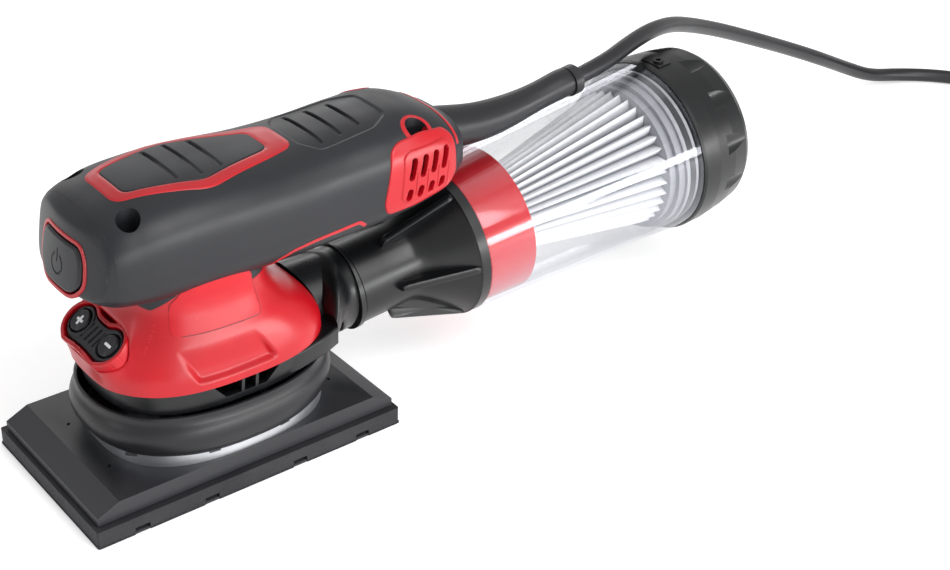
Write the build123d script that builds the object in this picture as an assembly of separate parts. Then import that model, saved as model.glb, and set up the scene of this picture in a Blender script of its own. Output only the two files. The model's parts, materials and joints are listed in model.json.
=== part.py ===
from build123d import *
import os
from math import copysign, cos, pi, radians, sin, tan

# Orbital sander with a pleated-filter dust container.
# Millimetres. Origin: centre of the pad's sanding face. +X runs back to the dust container, +Z is up.

# ---- driving dimensions -------------------------------------------------------------------------
PAD_LENGTH = 133.0
PAD_WIDTH = 80.0
HOOK_TOP = 1.2
CUSHION_TOP = 7.53
PLATE_TOP = 15.47
RAMP_LENGTH = 8.97
RAMP_FOOT = 11.35
ORBIT = 1.0                      # crank throw: the pad's stroke is twice this
SHAFT_X = ORBIT                  # the crank pin stands at x 0 at rest, the motor shaft one throw behind it
OVAL_POWER = 2.6                 # roundness of the housing's oval outlines

BAND_TOP = 20.1
SKIRT_BOTTOM = 19.6
SKIRT_TOP = 37.2
FAN_BOTTOM = 37.6
MOTOR_BOTTOM = 46.9
NECK_Z = 79.6                    # where the red bell ends and the dark neck begins
WALL = 2.5

SHAFT_R = 4.0
PIN_R = 3.975
BEARING_BORE_R = 4.02

HANDLE_WALL = 2.6
HANDLE_SPLIT_Z = 87.5            # the cover sits above this plane, the base below it

CONTAINER_TILT = 5.3             # degrees, rising to the rear
CONTAINER_ROOT = (66.5, 0.0, 45.5)
NECK_LENGTH = 24.0
RIM_STATION = 48.0
TUBE_START = 52.3
TUBE_END = 166.2
TUBE_FRONT_R = 32.9
TUBE_REAR_R = 39.2
TUBE_WALL = 1.8
CAP_START = 166.6
CAP_END = 197.5
LATCH_STATION = 173.7

KEYPAD_TILT = 35.5               # degrees from level
KEYPAD_CENTRE = (-41.2, 0.0, 61.9)
KEY_OFFSET = 10.7
KEY_R = 4.5

CORD_R = 3.7
RELIEF_END = (187.0, 0.0, 105.4)

# ---- helpers ------------------------------------------------------------------------------------


def power_curve(t, size, power):
    """One coordinate of a superellipse at angle t, given the matching cosine or sine."""
    return size * copysign(abs(t) ** (2 / power), t)


def oval(a, b, z, cx=SHAFT_X, power=OVAL_POWER, count=28):
    """Level face at height z with an oval outline of half-length a and half-width b."""
    points = []
    for i in range(count):
        turn = 2 * pi * i / count
        points.append((cx + power_curve(cos(turn), a, power), power_curve(sin(turn), b, power), z))
    return make_face(Spline(*points, periodic=True))


def oval_loft(stations, inset=0.0):
    """Solid through (z, a, b, cx) stations, each drawn in by inset."""
    return loft([oval(a - inset, b - inset, z, cx) for z, a, b, cx in stations])


def oval_ring(a, b, z_low, z_high, wall, cx=SHAFT_X):
    """Straight oval ring of the given wall, measured inwards."""
    outer = extrude(oval(a, b, z_low, cx), z_high - z_low)
    inner = extrude(oval(a - wall, b - wall, z_low - 1, cx), z_high - z_low + 2)
    return outer - inner


def block(low, high):
    """Box between two corners."""
    size = [h - l for l, h in zip(low, high)]
    centre = [(h + l) / 2 for l, h in zip(low, high)]
    return Pos(*centre) * Box(*size)


def drum(x, y, z_low, z_high, radius):
    """Upright cylinder."""
    return Pos(x, y, (z_low + z_high) / 2) * Cylinder(radius, z_high - z_low)


def tube(x, y, z_low, z_high, outer, inner):
    """Upright tube."""
    return drum(x, y, z_low, z_high, outer) - drum(x, y, z_low - 1, z_high + 1, inner)


def four(dx, dy):
    """The four mirrored places at plus and minus dx, dy."""
    return [(sx * dx, sy * dy) for sx in (-1, 1) for sy in (-1, 1)]


def joined(pieces):
    """One compound of separate solids."""
    solids = []
    for piece in pieces:
        solids.extend(piece.solids())
    return Compound(children=solids)


def prism_y(points_xz, y_low, y_high):
    """Prism along Y with a straight-sided outline in X and Z."""
    face = Plane.XZ * make_face(Polyline(*points_xz, close=True))
    return Pos(0, y_high, 0) * extrude(face, y_high - y_low)


def prism_x(points_yz, x_low, x_high):
    """Prism along X with a straight-sided outline in Y and Z."""
    face = Plane.YZ * make_face(Polyline(*points_yz, close=True))
    return Pos(x_low, 0, 0) * extrude(face, x_high - x_low)


def prism_z(points_xy, z_low, z_high):
    """Prism along Z with a straight-sided outline in X and Y."""
    return Pos(0, 0, z_low) * extrude(make_face(Polyline(*points_xy, close=True)), z_high - z_low)


# ---- pad body -----------------------------------------------------------------------------------

DUST_HOLES = four(35.0, 15.0) + four(12.0, 26.5)
DUST_HOLE_R = 4.2
PAD_SCREWS = four(21.0, 12.0)
SCREW_HEAD_R = 3.6
LEGS = four(26.0, 24.0)
NOTCH_CENTRES = (19.55, 48.65)
NOTCH_WIDTH = 6.1
NOTCH_TOP = 3.0
NOTCH_DEPTH = 2.2


def drilled(solid, places, radius, z_low, z_high):
    """The solid with upright holes at the given places."""
    for x, y in places:
        solid -= drum(x, y, z_low, z_high, radius)
    return solid


def side_notches():
    """The dark pockets along both long sides of the pad."""
    notches = []
    for centre in NOTCH_CENTRES:
        for side_x in (-1, 1):
            for side_y in (-1, 1):
                x = side_x * centre
                y = side_y * PAD_WIDTH / 2
                low = (x - NOTCH_WIDTH / 2, y - NOTCH_DEPTH, -1)
                high = (x + NOTCH_WIDTH / 2, y + NOTCH_DEPTH, NOTCH_TOP)
                notches.append(block(low, high))
    return notches


def pad_layer(z_low, z_high):
    """One rectangular layer of the pad with its dust holes, screw openings and side notches."""
    outline = Pos(0, 0, z_low) * extrude(RectangleRounded(PAD_LENGTH, PAD_WIDTH, 1.0), z_high - z_low)
    layer = drilled(outline, DUST_HOLES, DUST_HOLE_R, z_low - 1, z_high + 1)
    layer = drilled(layer, PAD_SCREWS, SCREW_HEAD_R + 0.6, z_low - 1, z_high + 1)
    for notch in side_notches():
        layer -= notch
    return layer


def hook_face():
    return pad_layer(0.0, HOOK_TOP)


def cushion():
    return pad_layer(HOOK_TOP, CUSHION_TOP)


def pad_plate():
    """Backing plate: a shadow gap under it, then a block whose ends ramp up."""
    half_x = 64.66
    half_y = 37.42
    outline = [
        (-half_x, CUSHION_TOP + 0.57),
        (half_x, CUSHION_TOP + 0.57),
        (half_x, RAMP_FOOT),
        (half_x - RAMP_LENGTH, PLATE_TOP),
        (-half_x + RAMP_LENGTH, PLATE_TOP),
        (-half_x, RAMP_FOOT),
    ]
    plate = prism_y(outline, -half_y, half_y)
    plate += block((-half_x + 1, -half_y + 1, CUSHION_TOP), (half_x - 1, half_y - 1, CUSHION_TOP + 1))
    plate = drilled(plate, DUST_HOLES, DUST_HOLE_R, 0, 20)
    plate = drilled(plate, PAD_SCREWS, 1.8, 0, 20)
    plate = drilled(plate, PAD_SCREWS, SCREW_HEAD_R, 0, 10.6)
    return drilled(plate, four(48.6, 16.3), 0.75, 12, 20)


def pad_screws():
    screws = []
    for x, y in PAD_SCREWS:
        screw = drum(x, y, 8.2, 10.6, SCREW_HEAD_R) + drum(x, y, 10.6, 19.0, 1.8)
        screws.append(screw - Pos(x, y, 8.2) * Box(1.2, 5.0, 1.6))
    return joined(screws)


BAND_A = 45.6
BAND_B = 36.5


def seal_band():
    return oval_ring(BAND_A, BAND_B, PLATE_TOP, BAND_TOP, 1.4)


def pad_hub():
    """Plate clamped on the pad, with the crank bearing's seat."""
    plate = extrude(oval(44.0, 34.9, PLATE_TOP), 3.4)
    hub = plate + drum(0, 0, PLATE_TOP, 27.2, 13.5)
    hub -= drum(0, 0, 18.0, 30.0, 11.0)
    hub -= drum(0, 0, 10.0, 30.0, 6.0)
    hub = drilled(hub, DUST_HOLES, DUST_HOLE_R, 10, 30)
    hub = drilled(hub, PAD_SCREWS, 1.8, 10, 30)
    return drilled(hub, LEGS, 2.0, 16.9, 30)


def crank_bearing():
    return tube(0, 0, 18.0, 27.0, 11.0, BEARING_BORE_R)


def elastic_legs():
    legs = []
    for x, y in LEGS:
        foot = drum(x, y, 16.9, 18.87, 2.0)
        post = drum(x, y, 18.87, 35.6, 4.0)
        collar = drum(x, y, 18.87, 20.5, 5.2)
        legs.append(foot + post + collar)
    return joined(legs)


SKIRT_STATIONS = [
    (19.6, 46.9, 37.6, SHAFT_X),
    (22.0, 49.2, 39.0, SHAFT_X),
    (25.0, 50.7, 39.9, SHAFT_X),
    (28.5, 51.1, 40.2, SHAFT_X),
    (31.5, 50.2, 39.5, SHAFT_X),
    (34.5, 48.8, 38.2, SHAFT_X),
    (SKIRT_TOP, 48.9, 38.0, SHAFT_X),
]


def skirt():
    """Rubber bellows that stands on the band and stops just under the fan housing."""
    wall = 1.2
    below = (SKIRT_BOTTOM - 0.2, 46.8, 37.7, SHAFT_X)
    above = (SKIRT_TOP + 0.3, 48.9, 38.0, SHAFT_X)
    shell = oval_loft(SKIRT_STATIONS) - oval_loft([below] + SKIRT_STATIONS[1:-1] + [above], wall)
    return shell - extrude(oval(BAND_A, BAND_B, SKIRT_BOTTOM - 1), BAND_TOP - SKIRT_BOTTOM + 1.2)


def skirt_clips():
    """Small hooks that hold the skirt down over the band."""
    clips = []
    for x, y, turn in ((-31.0, -34.3, -18.0), (7.0, -38.0, 2.0), (34.0, -33.6, 22.0)):
        for side in (1, -1):
            clip = Pos(x, y * side, 18.6) * Rot(0, 0, turn * side) * Box(7.0, 1.2, 2.4)
            clips.append(clip - inside_of_clips())
    return joined(clips)


def inside_of_clips():
    """The band's and the skirt's own space, which the clips stay out of."""
    band_space = extrude(oval(BAND_A + 0.02, BAND_B + 0.02, 10.0), 20.0)
    return band_space + oval_loft(SKIRT_STATIONS)


# ---- drive body ---------------------------------------------------------------------------------


def crank_pin():
    """Eccentric disc on the shaft's end with its pin a throw away from the shaft."""
    disc = drum(SHAFT_X, 0, 28.0, 30.5, 9.0)
    return disc + drum(0, 0, 18.6, 28.5, PIN_R)


def counterweight():
    """Half disc on the side away from the pad."""
    weight = drum(SHAFT_X, 0, 30.5, 35.8, 22.0) - block((-30, -30, 29), (SHAFT_X - 6.5, 30, 40))
    return weight - drum(SHAFT_X, 0, 20, 40, SHAFT_R)


def motor_shaft():
    return drum(SHAFT_X, 0, 30.5, 86.0, SHAFT_R)


def fan_impeller():
    """Back plate and eleven curved-back blades round a hub."""
    blade_count = 11
    impeller = drum(SHAFT_X, 0, 46.8, 48.4, 30.0) + drum(SHAFT_X, 0, 40.6, 48.4, 8.0)
    for i in range(blade_count):
        turn = 360.0 * i / blade_count
        blade = Rot(0, 0, turn) * Pos(18.5, 0, 44.0) * Rot(0, 0, 28) * Box(22.0, 1.4, 6.4)
        impeller += Pos(SHAFT_X, 0, 0) * blade
    impeller &= drum(SHAFT_X, 0, 40.0, 49.0, 30.0)
    return impeller - drum(SHAFT_X, 0, 30, 60, SHAFT_R)


def rotor():
    return tube(SHAFT_X, 0, 58.5, 74.5, 13.9, SHAFT_R)


# ---- motor and bearings on the housing ----------------------------------------------------------

STATOR_TEETH = 9


def stator():
    """Lamination stack: a ring with inward teeth."""
    stack = tube(SHAFT_X, 0, 59.0, 74.0, 24.0, 21.0)
    for i in range(STATOR_TEETH):
        tooth = Rot(0, 0, 360.0 * i / STATOR_TEETH) * Pos(18.3, 0, 66.5) * Box(7.4, 3.4, 15.0)
        stack += Pos(SHAFT_X, 0, 0) * tooth
    return stack - drum(SHAFT_X, 0, 50, 80, 14.8)


def windings():
    """One coil round each stator tooth."""
    coils = []
    for i in range(STATOR_TEETH):
        coil = Box(4.6, 7.4, 19.0) - Box(5.0, 3.42, 15.02)
        coils.append(Pos(SHAFT_X, 0, 0) * Rot(0, 0, 360.0 * i / STATOR_TEETH) * Pos(18.3, 0, 66.5) * coil)
    return joined(coils)


def bearing_plate():
    """Wall between the fan and the motor, with the lower bearing's boss."""
    plate = extrude(oval(42.8, 33.2, 49.4), 2.0) + drum(SHAFT_X, 0, 49.4, 56.6, 11.5)
    plate -= drum(SHAFT_X, 0, 50.6, 60.0, 9.0)
    return plate - drum(SHAFT_X, 0, 40, 60, 5.0)


def lower_bearing():
    return tube(SHAFT_X, 0, 50.6, 56.6, 9.0, BEARING_BORE_R)


def bearing_bridge():
    """Bridge over the motor that holds the upper bearing."""
    bridge = extrude(oval(23.6, 22.0, 79.0, SHAFT_X - 5), 2.2) + drum(SHAFT_X, 0, 79.0, 85.4, 11.2)
    bridge -= drum(SHAFT_X, 0, 80.0, 90.0, 9.0)
    return bridge - drum(SHAFT_X, 0, 70, 90, 5.0)


def upper_bearing():
    return tube(SHAFT_X, 0, 80.0, 85.0, 9.0, BEARING_BORE_R)


# ---- fan housing and outlet ---------------------------------------------------------------------

FAN_STATIONS = [(FAN_BOTTOM, 44.2, 34.9, SHAFT_X), (MOTOR_BOTTOM, 45.9, 36.2, SHAFT_X)]


def side_window(side):
    """Air opening in the ring's side: wider at its top, with two upright fins left standing."""
    outline = [(-15.0, MOTOR_BOTTOM + 1), (16.0, MOTOR_BOTTOM + 1), (9.0, 40.4), (-8.5, 40.4)]
    low, high = sorted((side * 26.0, side * 40.0))
    window = prism_y(outline, low, high)
    for x in (-1.5, 4.5):
        window -= block((x - 0.6, low - 1, 38), (x + 0.6, high + 1, 50))
    return window


def fan_housing():
    """Black ring round the fan: floor with the fan's eye, side windows and the outlet window."""
    ring = oval_loft(FAN_STATIONS)
    ring -= oval_loft([(39.6, 42.0, 32.6, SHAFT_X), (MOTOR_BOTTOM + 0.5, 43.4, 33.7, SHAFT_X)])
    ring -= drum(SHAFT_X, 0, 30, 45, 24.0)
    ring -= side_window(1)
    ring -= side_window(-1)
    return ring - block((38.0, -12.0, 40.2), (60.0, 12.0, 46.4))


PORT_R = 17.0
PORT_BORE_R = 14.4
PORT_END = 63.5


def port_envelope(radius, inset):
    """Level duct behind the housing whose underside slopes up to the fan ring."""
    duct = Pos(48.75, 0, 45.5) * Rot(0, 90, 0) * Cylinder(radius, 2 * (PORT_END - 48.75))
    under = [(30.0, 10.0), (30.0, FAN_BOTTOM), (53.0, FAN_BOTTOM), (57.2, 27.0), (57.2, 10.0)]
    lifted = [(x, z + inset) for x, z in under]
    return duct - prism_y(lifted, -30, 30)


def outlet_port(motor_solid):
    port = port_envelope(PORT_R, 0.0) - oval_loft(FAN_STATIONS) - motor_solid
    return port - port_envelope(PORT_BORE_R, 2.4)


# ---- frame of the dust container ----------------------------------------------------------------


def container_plane():
    """Local frame on the container's axis: z runs back along it, x is +Y of the sander, y is up."""
    tilt = radians(CONTAINER_TILT)
    return Plane(origin=CONTAINER_ROOT, x_dir=(0, 1, 0), z_dir=(cos(tilt), 0, sin(tilt)))


def spun(profile):
    """Solid of revolution about the container's axis from (radius, station) points."""
    face = Plane.XZ * make_face(Polyline(*profile, close=True))
    return container_plane().location * revolve(face, Axis.Z)


def on_axis(solid):
    """A solid drawn round local Z, placed on the container's axis."""
    return container_plane().location * solid


def tube_radius(station):
    """Outer radius of the clear tube at a station along the axis."""
    share = (station - TUBE_START) / (TUBE_END - TUBE_START)
    return TUBE_FRONT_R + share * (TUBE_REAR_R - TUBE_FRONT_R)


def port_collar():
    """Ring and spigot on the outlet port that the container's neck slides over."""
    flange = spun([(14.4, -2.6), (18.6, -2.6), (18.6, -0.4), (14.4, -0.4)])
    spigot = spun([(14.0, -0.4), (15.5, -0.4), (15.5, 18.0), (14.0, 18.0)])
    flange += spun([(14.0, -1.5), (15.5, -1.5), (15.5, -0.3), (14.0, -0.3)])
    cut = block((40, -40, 0), (PORT_END, 40, 100))
    return (flange + spigot) - cut


# ---- dust container -----------------------------------------------------------------------------

RIB_COUNT = 6
RIB_TURN = 15.0


def container_funnel():
    """Neck, bell and rim, with ribs standing on the bell."""
    outer = [
        (15.85, 0.0), (17.8, 0.0), (17.8, NECK_LENGTH), (19.4, 29.0), (23.4, 36.0),
        (28.4, 43.0), (32.6, RIM_STATION), (32.6, 52.0), (29.0, 52.0), (29.0, 60.0),
        (27.4, 60.0), (27.4, 48.5), (25.2, 43.4), (21.0, 37.4), (17.4, 30.6), (15.85, 25.0),
    ]
    funnel = spun(outer)
    rib_outline = [
        (18.6, 27.0), (22.6, 27.5), (31.6, 47.0), (31.6, 49.0), (29.5, 49.0), (28.9, 43.6), (23.6, 36.2),
    ]
    rib = Pos(0, 1.1, 0) * extrude(Plane.XZ * make_face(Polyline(*rib_outline, close=True)), 2.2)
    for i in range(RIB_COUNT):
        funnel += on_axis(Rot(0, 0, 360.0 * i / RIB_COUNT + RIB_TURN) * rib)
    return funnel


def funnel_seal():
    return spun([(15.56, 8.0), (15.85, 8.0), (15.85, 10.0), (15.56, 10.0)])


def red_ring():
    """Tinted ring inside the front of the clear tube, with its bayonet slot."""
    start = 52.6
    end = 76.1
    gap = 0.35
    thick = 1.5
    front = tube_radius(start) - TUBE_WALL - gap
    rear = tube_radius(end) - TUBE_WALL - gap
    ring = spun([(front - thick, start), (front, start), (rear, end), (rear - thick, end)])
    return ring + spun([(29.0, 53.0), (29.6, 53.0), (29.6, 54.4), (29.0, 54.4)])


def container_tube():
    front = TUBE_FRONT_R - TUBE_WALL
    rear = TUBE_REAR_R - TUBE_WALL
    return spun([(front, TUBE_START), (TUBE_FRONT_R, TUBE_START), (TUBE_REAR_R, TUBE_END), (rear, TUBE_END)])


PLEAT_COUNT = 36
FILTER_NOSE = 80.0
FILTER_ROOT = 152.0


def filter_frame():
    """Closed nose, four struts and the stepped ring at the wide end."""
    nose = spun([(0.0, FILTER_NOSE - 3), (16.0, FILTER_NOSE - 3), (17.5, FILTER_NOSE), (0.0, FILTER_NOSE)])
    ring = spun([
        (24.2, FILTER_ROOT), (33.0, FILTER_ROOT), (33.0, 155.5), (35.0, 155.5), (35.0, 159.0), (36.4, 159.0),
        (36.4, 165.8), (32.0, 165.8), (32.0, 157.0), (28.0, 157.0), (28.0, 154.0), (24.2, 154.0),
    ])
    frame = nose + ring
    for i in range(4):
        strut = spun([(11.0, FILTER_NOSE - 0.2), (13.2, FILTER_NOSE - 0.2), (26.4, FILTER_ROOT + 0.2),
                      (24.4, FILTER_ROOT + 0.2)])
        slab = on_axis(Rot(0, 0, 90.0 * i + 45.0) * Pos(25, 0, 116) * Box(50, 2.4, 90))
        frame += strut & slab
    return frame


def filter_pleats():
    """Folded paper cone: a thin zigzag wall from the nose to the ring."""
    def star(radius, station, depth, wall):
        points = []
        for i in range(2 * PLEAT_COUNT):
            turn = pi * i / PLEAT_COUNT
            reach = radius - (depth if i % 2 else 0.0) - wall
            points.append((reach * cos(turn), reach * sin(turn)))
        return Pos(0, 0, station) * make_face(Polyline(*points, close=True))
    outer = loft([star(17.4, FILTER_NOSE, 1.8, 0.0), star(31.5, FILTER_ROOT, 3.0, 0.0)])
    inner = loft([star(17.4, FILTER_NOSE - 0.1, 1.8, 0.9), star(31.5, FILTER_ROOT + 0.1, 3.0, 0.9)])
    return on_axis(outer - inner)


def filter_gasket():
    return spun([(36.4, 161.0), (36.75, 161.0), (36.75, 164.0), (36.4, 164.0)])


GRIP_COUNT = 12


def container_cap():
    """Turned cap with a hollow back, grip flats round it and a spigot into the filter's ring."""
    profile = [
        (30.0, 160.0), (31.5, 160.0), (31.5, CAP_START), (39.6, CAP_START), (40.2, CAP_START + 1.2),
        (40.2, 176.0), (39.2, 186.0), (37.6, 194.5), (35.6, CAP_END), (0.0, CAP_END), (0.0, 194.5),
        (34.0, 194.5), (36.4, 184.0), (36.8, 169.6), (30.0, 169.6),
    ]
    cap = spun(profile)
    for i in range(GRIP_COUNT):
        turn = 360.0 * (i + 0.5) / GRIP_COUNT
        cap -= on_axis(Rot(0, 0, turn) * Pos(44.7, 0, 190.5) * Cylinder(7.0, 18.0))
    return cap - latch_slab(LATCH_BOTTOM_R - LATCH_TRAVEL - 0.35, LATCH_TOP_R + 1.0, 0.35)


LATCH_BOTTOM_R = 38.5
LATCH_TOP_R = 40.5
LATCH_TRAVEL = 0.9


def latch_slab(low, high, gap):
    """Block on top of the cap between two distances from the axis, grown sideways by gap."""
    size = Box(11.0 + 2 * gap, high - low, 7.0 + 2 * gap)
    return on_axis(Pos(0, (low + high) / 2, LATCH_STATION) * size)


def cap_latch():
    """Finger latch on the cap's top: a plate with a raised round pin."""
    plate = latch_slab(LATCH_BOTTOM_R, LATCH_TOP_R, 0.0)
    ring = Rot(90, 0, 0) * (Cylinder(2.2, 1.0) - Cylinder(1.2, 2.0))
    return plate + on_axis(Pos(-1.5, LATCH_TOP_R + 0.4, LATCH_STATION) * ring)


def cap_seal():
    return spun([(31.5, 162.0), (31.9, 162.0), (31.9, 163.6), (31.5, 163.6)])


# ---- handle -------------------------------------------------------------------------------------

# station x, half width, underside z, top z
HANDLE_STATIONS = [
    (-53.0, 15.0, 89.0, 105.5),
    (-50.5, 21.0, 86.6, 109.6),
    (-45.0, 26.8, 83.0, 115.2),
    (-33.0, 29.4, 80.5, 119.8),
    (-14.0, 30.2, 79.5, 122.0),
    (8.0, 30.0, 79.0, 121.6),
    (30.0, 28.6, 78.6, 120.2),
    (52.0, 27.4, 78.6, 120.6),
    (74.0, 27.6, 80.0, 121.8),
    (90.0, 27.4, 82.5, 121.6),
    (102.0, 25.6, 86.0, 117.6),
    (110.0, 21.5, 90.5, 113.4),
]
HANDLE_POWER = 2.7


def handle_face(x, half, low, high, inset):
    """Upright cross-section of the handle, drawn in by inset."""
    centre = (low + high) / 2
    rise = (high - low) / 2 - inset
    points = []
    for i in range(24):
        turn = 2 * pi * i / 24
        y = power_curve(cos(turn), half - inset, HANDLE_POWER)
        z = centre + power_curve(sin(turn), rise, HANDLE_POWER)
        points.append((x, y, z))
    return make_face(Spline(*points, periodic=True))


def handle_loft(inset, end_inset=None):
    """The whole handle's body, drawn in by inset all round."""
    ends = inset if end_inset is None else end_inset
    faces = []
    last = len(HANDLE_STATIONS) - 1
    for i, (x, half, low, high) in enumerate(HANDLE_STATIONS):
        shift = ends if i == 0 else (-ends if i == last else 0.0)
        faces.append(handle_face(x + shift, half, low, high, inset))
    return loft(faces)


def hexagon(front, nose, side_x, side, back, tail):
    """Long six-sided outline, mirrored about the centre line."""
    return [(front, nose), (side_x, side), (back, tail), (back, -tail), (side_x, -side), (front, -nose)]


GRIP_OUTLINE = hexagon(-33.2, 11.6, -2.0, 20.2, 37.3, 10.2)
GRIP_HOLE = hexagon(-28.9, 9.4, -2.0, 15.8, 28.5, 7.4)
GRILLE_OUTLINE = [
    (68.4, 95.5), (72.7, 114.6), (73.9, 116.4), (88.0, 118.2), (100.4, 115.9),
    (103.4, 113.3), (104.8, 96.6), (101.0, 91.6), (81.8, 88.4), (71.2, 88.4),
]
BUTTON_OUTLINE = [(-11.7, 105.8), (11.7, 105.8), (13.9, 100.0), (14.4, 92.0), (-14.4, 92.0), (-13.9, 100.0)]
FRAME_OUTLINE = [(-13.4, 107.6), (13.4, 107.6), (16.0, 100.5), (16.6, 90.2), (-16.6, 90.2), (-16.0, 100.5)]
FRONT_SCREWS = [(-34.4, 20.4), (-34.4, -20.4)]
REAR_SCREWS = [(88.0, 21.0), (88.0, -21.0)]
SCREW_WELL_R = 4.0


def grown(points, gap):
    """An outline about its own middle, moved out by about gap."""
    mid_a = sum(p[0] for p in points) / len(points)
    mid_b = (max(p[1] for p in points) + min(p[1] for p in points)) / 2
    return [(a + copysign(gap, a - mid_a), b + copysign(gap, b - mid_b)) for a, b in points]


def grille_prism(side, points):
    low, high = sorted((side * 10.0, side * 40.0))
    return prism_y(points, low, high)


def grip_ring(outer, skin):
    """Hexagonal ring let into the handle's top."""
    ring = prism_z(GRIP_OUTLINE, 100, 140) - prism_z(GRIP_HOLE, 90, 150)
    return (outer - skin) & ring


def grip_pad(outer, skin):
    """Inlay inside the ring with three cross grooves."""
    pad = (outer - skin) & prism_z(GRIP_HOLE, 100, 140)
    for x, half in ((-10.9, 12.6), (-1.6, 14.0), (7.6, 12.0)):
        pad -= block((x - 0.7, -half, 121.0), (x + 0.7, half, 130.0))
    return pad


def vent_grille(side, shell):
    """Side grille: the shell's piece inside its outline, with two rows of slots."""
    grille = shell & grille_prism(side, GRILLE_OUTLINE)
    for i in range(4):
        x = 78.6 + 5.4 * i
        low, high = sorted((side * 9.0, side * 41.0))
        grille -= block((x - 1.4, low, 102.0), (x + 1.4, high, 112.6))
        grille -= block((x - 1.4, low, 92.4), (x + 1.4, high, 97.6))
    return grille


def screw_wells(places, bottom):
    """Upright wells over the handle's screws."""
    return [drum(x, y, bottom, 140.0, SCREW_WELL_R) for x, y in places]


def handle_parts(motor_solid):
    """Cover, base and the pieces let into them."""
    outer = handle_loft(0.0)
    skin = handle_loft(1.3)
    inner = handle_loft(HANDLE_WALL)
    shell = outer - inner
    above = block((-80, -60, HANDLE_SPLIT_Z), (140, 60, 160))
    below = block((-80, -60, 60), (140, 60, HANDLE_SPLIT_Z))

    ring = grip_ring(outer, skin)
    pad = grip_pad(outer, skin)
    frame = (shell & prism_x(FRAME_OUTLINE, -70, -46)) - prism_x(grown(BUTTON_OUTLINE, 0.4), -70, -40)
    left = vent_grille(1, shell)
    right = vent_grille(-1, shell)
    for well in screw_wells(REAR_SCREWS, 100):
        left -= well
        right -= well

    cover = shell & above
    cover -= prism_z(GRIP_OUTLINE, 100, 140) & (outer - skin)
    cover -= prism_x(FRAME_OUTLINE, -70, -46)
    for side in (1, -1):
        cover -= grille_prism(side, GRILLE_OUTLINE)
    for well in screw_wells(FRONT_SCREWS, 100) + screw_wells(REAR_SCREWS, 100):
        cover -= well
    for x, half in ((49.7, 13.5), (58.7, 12.0), (68.0, 10.5)):
        cover -= block((x - 0.7, -half, 119.6), (x + 0.7, half, 130.0))
    cover -= relief_root_space()

    base = (shell & below) - motor_solid - prism_x(FRAME_OUTLINE, -70, -46)
    base -= relief_root_space()
    for side in (1, -1):
        base -= grille_prism(side, GRILLE_OUTLINE)
    return {
        "handle_cover": cover,
        "handle_base": base,
        "grip_ring": ring,
        "grip_pad": pad,
        "button_frame": frame,
        "vent_grille_left": left,
        "vent_grille_right": right,
    }


def power_button():
    """Front button that follows the handle's nose."""
    button = prism_x(BUTTON_OUTLINE, -58, -44) & handle_loft(0.0)
    button -= prism_x([(-8, 96), (8, 96), (8, 103), (-8, 103)], -49, -40)
    symbol = Pos(-52.6, 0, 96.5) * Rot(0, 90, 0) * (Cylinder(3.6, 1.2) - Cylinder(2.9, 2.0))
    return button - symbol


def power_switch():
    body = block((-41.0, -7.0, 93.0), (-26.0, 7.0, 106.0))
    return body + block((-42.3, -3.0, 97.5), (-40.5, 3.0, 101.5))


def handle_screws():
    """Four cap screws at the bottoms of their wells, with hexagon sockets."""
    screws = []
    for x, y in FRONT_SCREWS + REAR_SCREWS:
        top = 109.0 if x < 0 else 110.0
        screw = drum(x, y, top - 3.0, top, 2.9) + drum(x, y, top - 11.0, top - 3.0, 1.5)
        socket = Pos(x, y, top - 1.7) * extrude(RegularPolygon(1.5, 6), 2.0)
        screws.append(screw - socket)
    return joined(screws)


def control_board():
    return block((-20.0, -16.0, 95.0), (62.0, 16.0, 96.6))


def capacitors():
    cans = []
    for x, y in ((34.0, -7.5), (34.0, 7.5), (50.0, 0.0)):
        cans.append(drum(x, y, 96.6, 112.0, 6.2))
    return joined(cans)


def heat_sink():
    """Finned block on the board over the switching parts."""
    sink = block((-14.0, -12.0, 96.6), (12.0, 12.0, 99.0))
    for i in range(7):
        y = -12.0 + 3.8 * i
        sink += block((-14.0, y, 98.5), (12.0, y + 1.2, 109.0))
    return sink


def cord_clamp():
    """Saddle that grips the cord inside the handle."""
    saddle = block((84.0, -10.0, 95.0), (92.0, 10.0, 105.5))
    return saddle - Pos(88.0, 0, 100.8) * Rot(0, 90, 0) * Cylinder(CORD_R, 20.0)


# ---- motor housing ------------------------------------------------------------------------------

MOTOR_STATIONS = [
    (MOTOR_BOTTOM, 46.4, 36.8, 0.8),
    (52.0, 45.8, 36.4, 0.8),
    (58.0, 43.2, 34.8, 0.6),
    (64.0, 39.4, 32.8, -0.4),
    (70.0, 34.4, 30.4, -2.0),
    (76.0, 30.0, 28.4, -4.0),
    (82.0, 28.6, 27.4, -5.0),
    (86.5, 28.4, 27.2, -5.0),
]


def keypad_plane():
    """Local frame on the keypad: z points out of it, x runs to the sander's -Y side."""
    tilt = radians(KEYPAD_TILT)
    return Plane(origin=KEYPAD_CENTRE, x_dir=(0, -1, 0), z_dir=(-sin(tilt), 0, cos(tilt)))


def keypad_slab(width, height, radius, low, high):
    """Rounded slab square to the keypad, between two depths."""
    slab = Pos(0, 0, low) * extrude(RectangleRounded(width, height, radius), high - low)
    return keypad_plane().location * slab


def motor_envelope():
    """Outer form of the motor housing, boss included and filled."""
    body = oval_loft(MOTOR_STATIONS)
    boss = keypad_slab(40.0, 20.5, 8.5, -15.0, 2.6)
    boss -= block((-90, -60, 0), (20, 60, MOTOR_BOTTOM))
    return body + boss


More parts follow.
